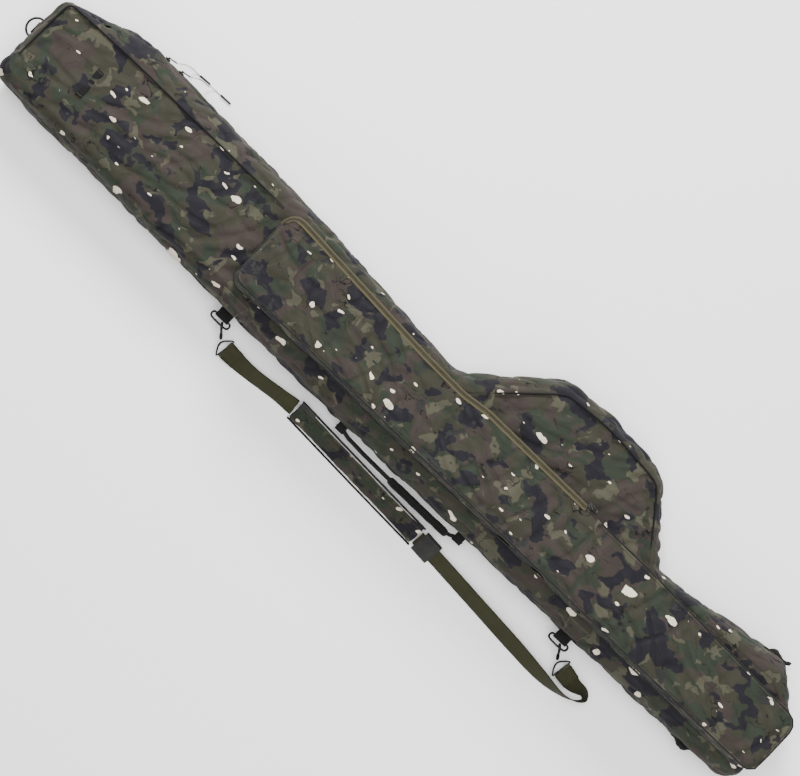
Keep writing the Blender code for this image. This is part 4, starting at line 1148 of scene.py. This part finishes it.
for v in shoulderPad.data.vertices:
    offset, height, face, across, along = padPlace(v.co)
    dip = sum(math.exp(-((offset - line) / 0.0022) ** 2) for line in (-0.019, 0.019))
    dip += 0.6 * math.exp(-(offset / 0.0025) ** 2)
    lump = noise.noise(v.co * 45) * 0.0006
    v.co += face * (lump - math.copysign(1, height) * 0.0016 * dip)
settle(shoulderPad, "shoulder_pad", "camo_fabric")


def padLine(offset, height, lift=0.0):
    points, ups = [], []
    for i, row in enumerate(padPath):
        here = Vector(row[:3])
        along = (Vector(padPath[min(i + 1, len(padPath) - 1)][:3]) - Vector(padPath[max(i - 1, 0)][:3])).normalized()
        across = acrossOf(along, math.radians(row[3]))
        face = along.cross(across)
        points.append(here + across * offset + face * height)
        ups.append(face)
    return points, ups


for number, edge in enumerate((-0.0263, 0.0263)):
    trim = tubeMesh("padTrim%d" % number, padLine(edge, 0.0)[0], 0.0021, 10)
    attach(wearing(trim, "black_binding"), "strap")
padSurface = treeOf(shoulderPad)
for number, offset in enumerate((-0.019, 0.019)):
    line, ups = padLine(offset, 0.0)
    spots = []
    for p, up in zip(line, ups):
        hit = padSurface.ray_cast(p + up * 0.03, -up)[0]
        spots.append(hit if hit is not None else p + up * 0.004)
    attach(rowOf("padStitch%d" % number, spots, ups, stitchShape, 0.0036, "zip_tape", "strap"), "strap")
print("shoulder pad made")


# ---------- strap hardware ----------
def smoothSolid(node, title, levels=2, bevel=None, finish=None):
    # a small moulded or bent-wire piece, rounded from its plain solid
    obj = mergedCopy([node], title)
    flat = obj.modifiers.new("flatten", "DECIMATE")
    flat.decimate_type = "DISSOLVE"
    flat.angle_limit = math.radians(2)
    bake(obj)
    if bevel:
        edge = obj.modifiers.new("edge", "BEVEL")
        edge.width = bevel
        edge.segments = 3
        edge.limit_method = "ANGLE"
        edge.angle_limit = math.radians(30)
        bake(obj)
    else:
        rounder = obj.modifiers.new("rounder", "SUBSURF")
        rounder.levels = rounder.render_levels = levels
        bake(obj)
        for v in obj.data.vertices:
            v.co += v.normal * 0.0004        # rounding thins a wire, so it is let out again
    obj.data.shade_smooth()
    if bevel:
        obj.data.set_sharp_from_angle(angle=math.radians(50))
    return settle(obj, node, finish)


def strapEnd(title, rows, atStart):
    # webbing folded round the loop's bar and sewn back on itself
    i, j = (0, 1) if atStart else (-1, -2)
    end, before = Vector(rows[i][:3]), Vector(rows[j][:3])
    along = (end - before).normalized()
    travel = along if not atStart else -along
    across = acrossOf(travel, math.radians(rows[i][3]))
    centre = end + along * 0.0030
    sleeve = tubeMesh(title + "Fold", [centre + across * (0.0345 * (k / 12 - 0.5)) for k in range(13)], 0.0029, 14)
    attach(wearing(sleeve, "olive_webbing"), "strap")
    back = [tuple(centre - along * 0.030 * k / 10 + Vector((0, 0, 0.0021))) + (rows[i][3],) for k in range(11)]
    layer = ribbon(title + "Layer", back if not atStart else back[::-1][::-1], 0.036, 0.0016)
    wearing(layer, "olive_webbing")
    layer.data.materials[0] = finishes["strap_weave"]
    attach(layer, "strap")
    top = [centre - along * (0.008 + 0.016 * k / 8) + Vector((0, 0, 0.0033)) for k in range(9)]
    for number, offset in enumerate((-0.014, 0.0, 0.014)):
        line = [p + across * offset for p in top]
        rowOf(title + "Stitch%d" % number, line, [Vector((0, 0, 1))] * 9, stitchShape, 0.0030, "black_binding", "strap")


strapEnd("strapTipEnd", smoothPath(strapRows["tip"], 12), True)
strapEnd("strapButtEnd", smoothPath(strapRows["butt"], 12), False)
for node, title in (("strap_ring_tip", "strapRingTip"), ("strap_ring_butt", "strapRingButt"), ("top_ring", "topRing"),
                    ("strap_hook_tip", "snapHookTip"), ("strap_hook_butt", "snapHookButt"),
                    ("strap_loop_tip", "strapLoopTip"), ("strap_loop_butt", "strapLoopButt"),
                    ("hook_gate_tip", "hookGateTip"), ("hook_gate_butt", "hookGateButt"),
                    ("main_pull_a", "pullWireA"), ("main_pull_b", "pullWireB"), ("pocket_pull", "pocketPull")):
    smoothSolid(node, title, levels=1)
for node, title, edge in (("strap_adjuster", "ladderLock", 0.0008), ("main_slider_a", "zipSliderA", 0.0005),
                          ("main_slider_b", "zipSliderB", 0.0005), ("pocket_slider", "pocketSlider", 0.0005),
                          ("pad_keeper", "padKeeper", 0.0012)):
    smoothSolid(node, title, bevel=edge)
print("hardware rounded")


# ---------- carrying handle ----------
handle = {"anchors": (-0.030, 0.276), "pivotY": -0.1405, "bowY": -0.148, "height": 0.046, "rope": 0.0043,
          "grip": (0.104, 0.252), "gripRadius": 0.0082}


def handleRope():
    # the rope keeps the CAD's line, with a loose twist laid round it
    rope = smoothSolid("handle_webbing", "handleRope", levels=1, finish="black_binding")
    for v in rope.data.vertices:
        twist = math.sin(v.co.x * 700 + math.atan2(v.co.z - handle["height"], v.co.y - handle["bowY"]) * 2)
        away = Vector((0, v.co.y - handle["bowY"], v.co.z - handle["height"]))
        if abs(v.co.y - handle["bowY"]) < 0.006:
            v.co += away.normalized() * (0.0003 * twist + 0.0003)
    return rope


def handleGrip():
    # a wrap sewn round the rope: a soft tube, tight at its ends, with a seam along it
    a, b = handle["grip"]
    points = [(a + (b - a) * k / 70, handle["bowY"], handle["height"]) for k in range(71)]
    grip = tubeMesh("handleGrip", points, handle["gripRadius"], 28,
                    swell=lambda t: 0.80 + 0.20 * min(1, min(t, 1 - t) / 0.06) ** 0.5)
    for v in grip.data.vertices:
        angle = math.atan2(v.co.z - handle["height"], v.co.y - handle["bowY"])
        seam = math.exp(-((angle - 1.9) / 0.10) ** 2) * 0.0012
        lump = noise.noise(v.co * 70) * 0.0007
        away = Vector((0, v.co.y - handle["bowY"], v.co.z - handle["height"]))
        if away.length > 0.001:
            v.co += away.normalized() * (lump - seam)
    settle(grip, "handle_grip", "black_foam")


handleRope()
handleGrip()


# ---------- folded tabs, straps and small bands ----------
def softBlock(node, title, finish, bevel=0.0016, levels=1):
    # webbing folded over a ring: its corners are round and its faces are not quite flat
    obj = mergedCopy([node], title)
    flat = obj.modifiers.new("flatten", "DECIMATE")
    flat.decimate_type = "DISSOLVE"
    flat.angle_limit = math.radians(2)
    bake(obj)
    edge = obj.modifiers.new("edge", "BEVEL")
    edge.width = bevel
    edge.segments = 2
    edge.limit_method = "ANGLE"
    bake(obj)
    three = obj.modifiers.new("three", "TRIANGULATE")
    bake(obj)
    finer = obj.modifiers.new("finer", "SUBSURF")
    finer.subdivision_type = "SIMPLE"
    finer.levels = finer.render_levels = levels
    bake(obj)
    for v in obj.data.vertices:
        v.co += v.normal * noise.noise(v.co * 130) * 0.0004
    obj.data.shade_smooth()
    obj.data.set_sharp_from_angle(angle=math.radians(55))
    return settle(obj, node, finish)


softBlock("strap_tab_tip", "strapTabTip", "black_binding")
softBlock("strap_tab_butt", "strapTabButt", "black_binding")
softBlock("handle_anchor_tip", "handleAnchorTip", "black_binding", 0.0014)
softBlock("handle_anchor_butt", "handleAnchorButt", "black_binding", 0.0014)
softBlock("top_ring_tab", "topRingTab", "black_binding", 0.0010)
softBlock("zip_end_tab", "zipEndTab", "olive_webbing", 0.0008)


def flatStrap(node, title, finish, thick, ends=2.0):
    # a level band made from its CAD box, with weave that runs along it
    lo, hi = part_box(node)
    lengthwise = (hi - lo).y > (hi - lo).x
    middle = (lo + hi) / 2
    rows = []
    for k in range(41):
        t = k / 40
        x = middle.x if lengthwise else lo.x + (hi.x - lo.x) * t
        y = lo.y + (hi.y - lo.y) * t if lengthwise else middle.y
        rows.append((x, y, middle.z + math.sin(t * math.pi) * 0.0002, 0))
    width = (hi.x - lo.x) if lengthwise else (hi.y - lo.y)
    strap = ribbon(title, rows, width, thick, crown=0.0)
    settle(strap, node, finish)
    strap.data.materials[0] = finishes["strap_weave" if finish == "olive_webbing" else "black_weave"]
    size = lineLength([row[:3] for row in rows])
    return strap


for node, title, finish in (("rod_strap_tip", "rodStrapTip", "olive_webbing"), ("rod_strap_middle", "rodStrapMiddle", "olive_webbing"),
                            ("rod_strap_butt", "rodStrapButt", "olive_webbing"), ("leaf_strap_tip", "leafStrapTip", "olive_webbing"),
                            ("leaf_strap_butt", "leafStrapButt", "olive_webbing"), ("front_loop", "frontLoop", "black_binding")):
    flatStrap(node, title, finish, 0.0022)
loopLift = frontTree.ray_cast(Vector((-0.813, 0.0, 0.30)), Vector((0, 0, -1)))[0]
print("front cloth stands", round((loopLift.z - 0.125) * 1000, 1), "mm above its solid at the loop")


def bunch(title, x, y, z, turn, size):
    # the folded end of a binding, bunched up where two seams meet
    points = [Vector((x, y, z)) + Matrix.Rotation(turn, 3, "Z") @ Vector((size * (t - 0.5), 0.004 * math.sin(t * 7), 0.006 * t))
              for t in [k / 24 for k in range(25)]]
    lump = tubeMesh(title, points, 0.0085, 20, swell=lambda t: 0.45 + 0.55 * math.sin(math.pi * min(1, t * 1.15)) ** 0.7)
    for v in lump.data.vertices:
        v.co += v.normal * (noise.noise(v.co * 120) * 0.0016 + noise.noise(v.co * 300) * 0.0006)
    wearing(lump, "black_binding")
    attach(lump, "case_back")


bunch("baseFoldPouch", 0.872, 0.1165, 0.046, 0.20, 0.046)
bunch("baseFoldSpine", 0.846, -0.1265, 0.046, 0.05, 0.044)
for number, y in enumerate((-0.0265, 0.0295)):
    bar = [(-0.8185 + 0.011 * k / 12, y, 0) for k in range(13)]
    sew("loopStitch%d" % number, frontTree, [Vector(p) for p in bar], "case_front", pitch=0.0022, finish="zip_tape", lift=0.0030)


# ---------- divider leaf and end pads ----------
def cutInGrid(obj, step):
    # slices a flat piece into squares, so that its faces can swell
    shape = bmesh.new()
    shape.from_mesh(obj.data)
    lo, hi = (Vector([f(v.co[k] for v in shape.verts) for k in range(3)]) for f in (min, max))
    for axis in range(2):
        way = Vector((1 - axis, axis, 0))
        for k in range(1, int((hi[axis] - lo[axis]) / step)):
            everything = shape.verts[:] + shape.edges[:] + shape.faces[:]
            bmesh.ops.bisect_plane(shape, geom=everything, plane_co=lo + way * (k * step), plane_no=way)
    shape.to_mesh(obj.data)
    shape.free()


def paddedBoard(node, title, voxel, swell, channels=None):
    obj = mergedCopy([node], title)
    seams = seamLine(obj)
    if channels:
        cutInGrid(obj, 0.014)
    else:
        remeshed(obj, voxel, 3)
    for v in obj.data.vertices:
        away = seams.find(v.co)[2]
        share = 1 - math.exp(-away / 0.012)
        dip = 0.0
        if channels:
            lane = (v.co.x % channels) - channels / 2
            dip = math.exp(-(lane / 0.004) ** 2)
        v.co += v.normal * (swell * share * (1 - 0.9 * dip) + noise.noise(v.co * 30) * swell * 0.3 * share)
    obj.data.shade_smooth()
    settle(obj, node)
    return obj


paddedBoard("divider_leaf", "dividerLeaf", 0.0032, 0.0009, channels=0.155)
paddedBoard("tip_end_pad", "tipEndPad", 0.0030, 0.0022)
paddedBoard("butt_end_pad", "buttEndPad", 0.0030, 0.0022)
print("inside pieces made")


# ---------- spine cloth between the back and the lid -----
def spineCloth():
    # one strip of cloth from under the back's rim to over the front's, bowed out a little between them
    shape = bmesh.new()
    stations = [-0.620 + (0.820 + 0.620) * k / 240 for k in range(241)]
    backTree = treeOf(backShell)
    heights = [0.052 + 0.026 * k / 12 for k in range(13)]
    rings = []
    for x in stations:
        outside, inside = [], []
        for z in heights:
            tree = backTree if z < 0.065 else frontTree
            level = min(z, 0.0550) if z < 0.065 else max(z, 0.0745)
            hit = tree.ray_cast(Vector((x, -0.30, level)), Vector((0, 1, 0)))[0]
            y = hit.y if hit is not None and hit.y < -0.08 else outside[-1].y if outside else -0.115
            bow = math.exp(-((z - 0.065) / 0.006) ** 2) * 0.0012
            ripple = noise.noise(Vector((x * 30, z * 60, 0.7))) * 0.0005
            ends = min(1.0, (x + 0.620) / 0.05, (0.820 - x) / 0.05)
            out = (bow + ripple) * ends
            outside.append(Vector((x, y - 0.0005 - 0.0003 * ends - out, z)))
            inside.append(Vector((x, y + 0.0008 - out, z)))
        rings.append([shape.verts.new(p) for p in outside + inside[::-1]])
    size = len(rings[0])
    for a, b in zip(rings, rings[1:]):
        for k in range(size):
            j = (k + 1) % size
            shape.faces.new((a[k], a[j], b[j], b[k]))
    shape.faces.new(list(reversed(rings[0])))
    shape.faces.new(rings[-1])
    bmesh.ops.recalc_face_normals(shape, faces=shape.faces)
    mesh = bpy.data.meshes.new("spineCloth")
    shape.to_mesh(mesh)
    shape.free()
    mesh.shade_smooth()
    cloth = wearing(linkMesh("spineCloth", mesh), "camo_fabric")
    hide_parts("spine_strip_back", "spine_strip_front")
    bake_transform(cloth)
    return cloth


spineCloth()
print("spine cloth made")


# ---------- reinforcing patches, piping lines and panel seams ---------------
def topPatch(title, corners, tree, body, finish, thick=0.0016, nx=18, ny=10, stitch=True):
    # a patch of cloth sewn down on a padded piece; corners run round it
    a, b, c, d = (Vector((*p, 0)) for p in corners)
    shape = bmesh.new()
    upper, lower = [], []
    for i in range(nx + 1):
        rowUp, rowLow = [], []
        for j in range(ny + 1):
            p = a.lerp(b, i / nx).lerp(d.lerp(c, i / nx), j / ny)
            hit, normal = tree.ray_cast(Vector((p.x, p.y, 0.30)), Vector((0, 0, -1)))[:2]
            if hit is None:
                hit, normal = Vector((p.x, p.y, 0.070)), Vector((0, 0, 1))
            edge = min(i, nx - i, j, ny - j)
            high = thick * (0.35 if edge == 0 else 1.0)
            rowUp.append(shape.verts.new(hit + normal * (high + 0.0002)))
            rowLow.append(shape.verts.new(hit - normal * 0.0006))
        upper.append(rowUp)
        lower.append(rowLow)
    for i in range(nx):
        for j in range(ny):
            shape.faces.new((upper[i][j], upper[i + 1][j], upper[i + 1][j + 1], upper[i][j + 1]))
            shape.faces.new((lower[i][j], lower[i][j + 1], lower[i + 1][j + 1], lower[i + 1][j]))
    for i in range(nx):
        for j, flip in ((0, False), (ny, True)):
            quad = (upper[i][j], lower[i][j], lower[i + 1][j], upper[i + 1][j])
            shape.faces.new(tuple(reversed(quad)) if flip else quad)
    for j in range(ny):
        for i, flip in ((0, True), (nx, False)):
            quad = (upper[i][j], lower[i][j], lower[i][j + 1], upper[i][j + 1])
            shape.faces.new(tuple(reversed(quad)) if flip else quad)
    bmesh.ops.recalc_face_normals(shape, faces=shape.faces)
    mesh = bpy.data.meshes.new(title)
    shape.to_mesh(mesh)
    shape.free()
    mesh.shade_smooth()
    patch = wearing(linkMesh(title, mesh), finish)
    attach(patch, body)
    if stitch:
        ring = []
        for s, e in ((a, b), (b, c), (c, d), (d, a)):
            ring += [s.lerp(e, k / 12) for k in range(12)]
        middle = (a + b + c + d) / 4
        ring = [middle + (p - middle) * 0.88 for p in ring]
        sew(title + "Stitch", treeOf(patch), ring + [ring[0]], body, pitch=0.0034, finish="zip_tape")
    return patch


topPatch("strapPatchTip", [(-0.372, -0.098), (-0.304, -0.098), (-0.318, -0.1275), (-0.356, -0.1275)], frontTree, "case_front",
         "camo_fabric")
topPatch("strapPatchButt", [(0.520, -0.098), (0.576, -0.098), (0.566, -0.1265), (0.530, -0.1265)], frontTree, "case_front",
         "camo_fabric")


def topSeam(title, line, tree, body, radius=0.0013, finish="black_binding", lift=0.0002):
    # thin piping, or a black line of painted shade, that follows the cloth below it
    spots, ups = dropOnto(tree, line, lift)
    if len(spots) < 8:
        return None
    seam = tubeMesh(title, spots, radius, 8)
    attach(wearing(seam, finish), body)
    return seam


# second piping line beside the first at the tip, and black tubes along the spine side's crease: painted shade where the
# cloth folds away, not piping
for number, run in enumerate(openStretches(insetLine(frontRing, 0.0145))):
    near = [p for p in run if p.x < -0.375 and p.y > -0.060]
    if len(near) > 8:
        topSeam("tipPipingInner%d" % number, near, frontTree, "case_front", 0.0015)
for number, run in enumerate(openStretches(insetLine(frontRing, 0.0035))):
    low = [p for p in run if p.y < -0.055]
    if len(low) > 8:
        # painted shade: black binding tubes drawn as the dark fold line on the spine side
        topSeam("spineCrease%d" % number, low, frontTree, "case_front", 0.0016)
panelEdge = evenly(panelRing, 0.006, closed=True)


def foldSideOf(p):
    return (p - foldPoint).dot(foldSide)


for part, body, keep in (("Fixed", "case_front", lambda p: foldSideOf(p) < -0.004), ("Loose", "flap", lambda p: foldSideOf(p) > 0.006)):
    runs, run = [], []
    for p in insetLine(panelEdge, 0.0022 if part == "Fixed" else 0.0095):
        if keep(p):
            run.append(p)
        elif run:
            runs.append(run)
            run = []
    runs.append(run)
    for number, run in enumerate(r for r in runs if len(r) > 8):
        if part == "Fixed":
            topSeam("panelPiping%d" % number, run, pocketTree, body, 0.0016)
        sew("panelStitch%s%d" % (part, number), pocketTree, insetLine(run, 0.0055 if part == "Fixed" else 0.002, closed=False), body)
print("patches and seams sewn")


for spare in (stitchShape, toothShape):
    bpy.data.objects.remove(spare)
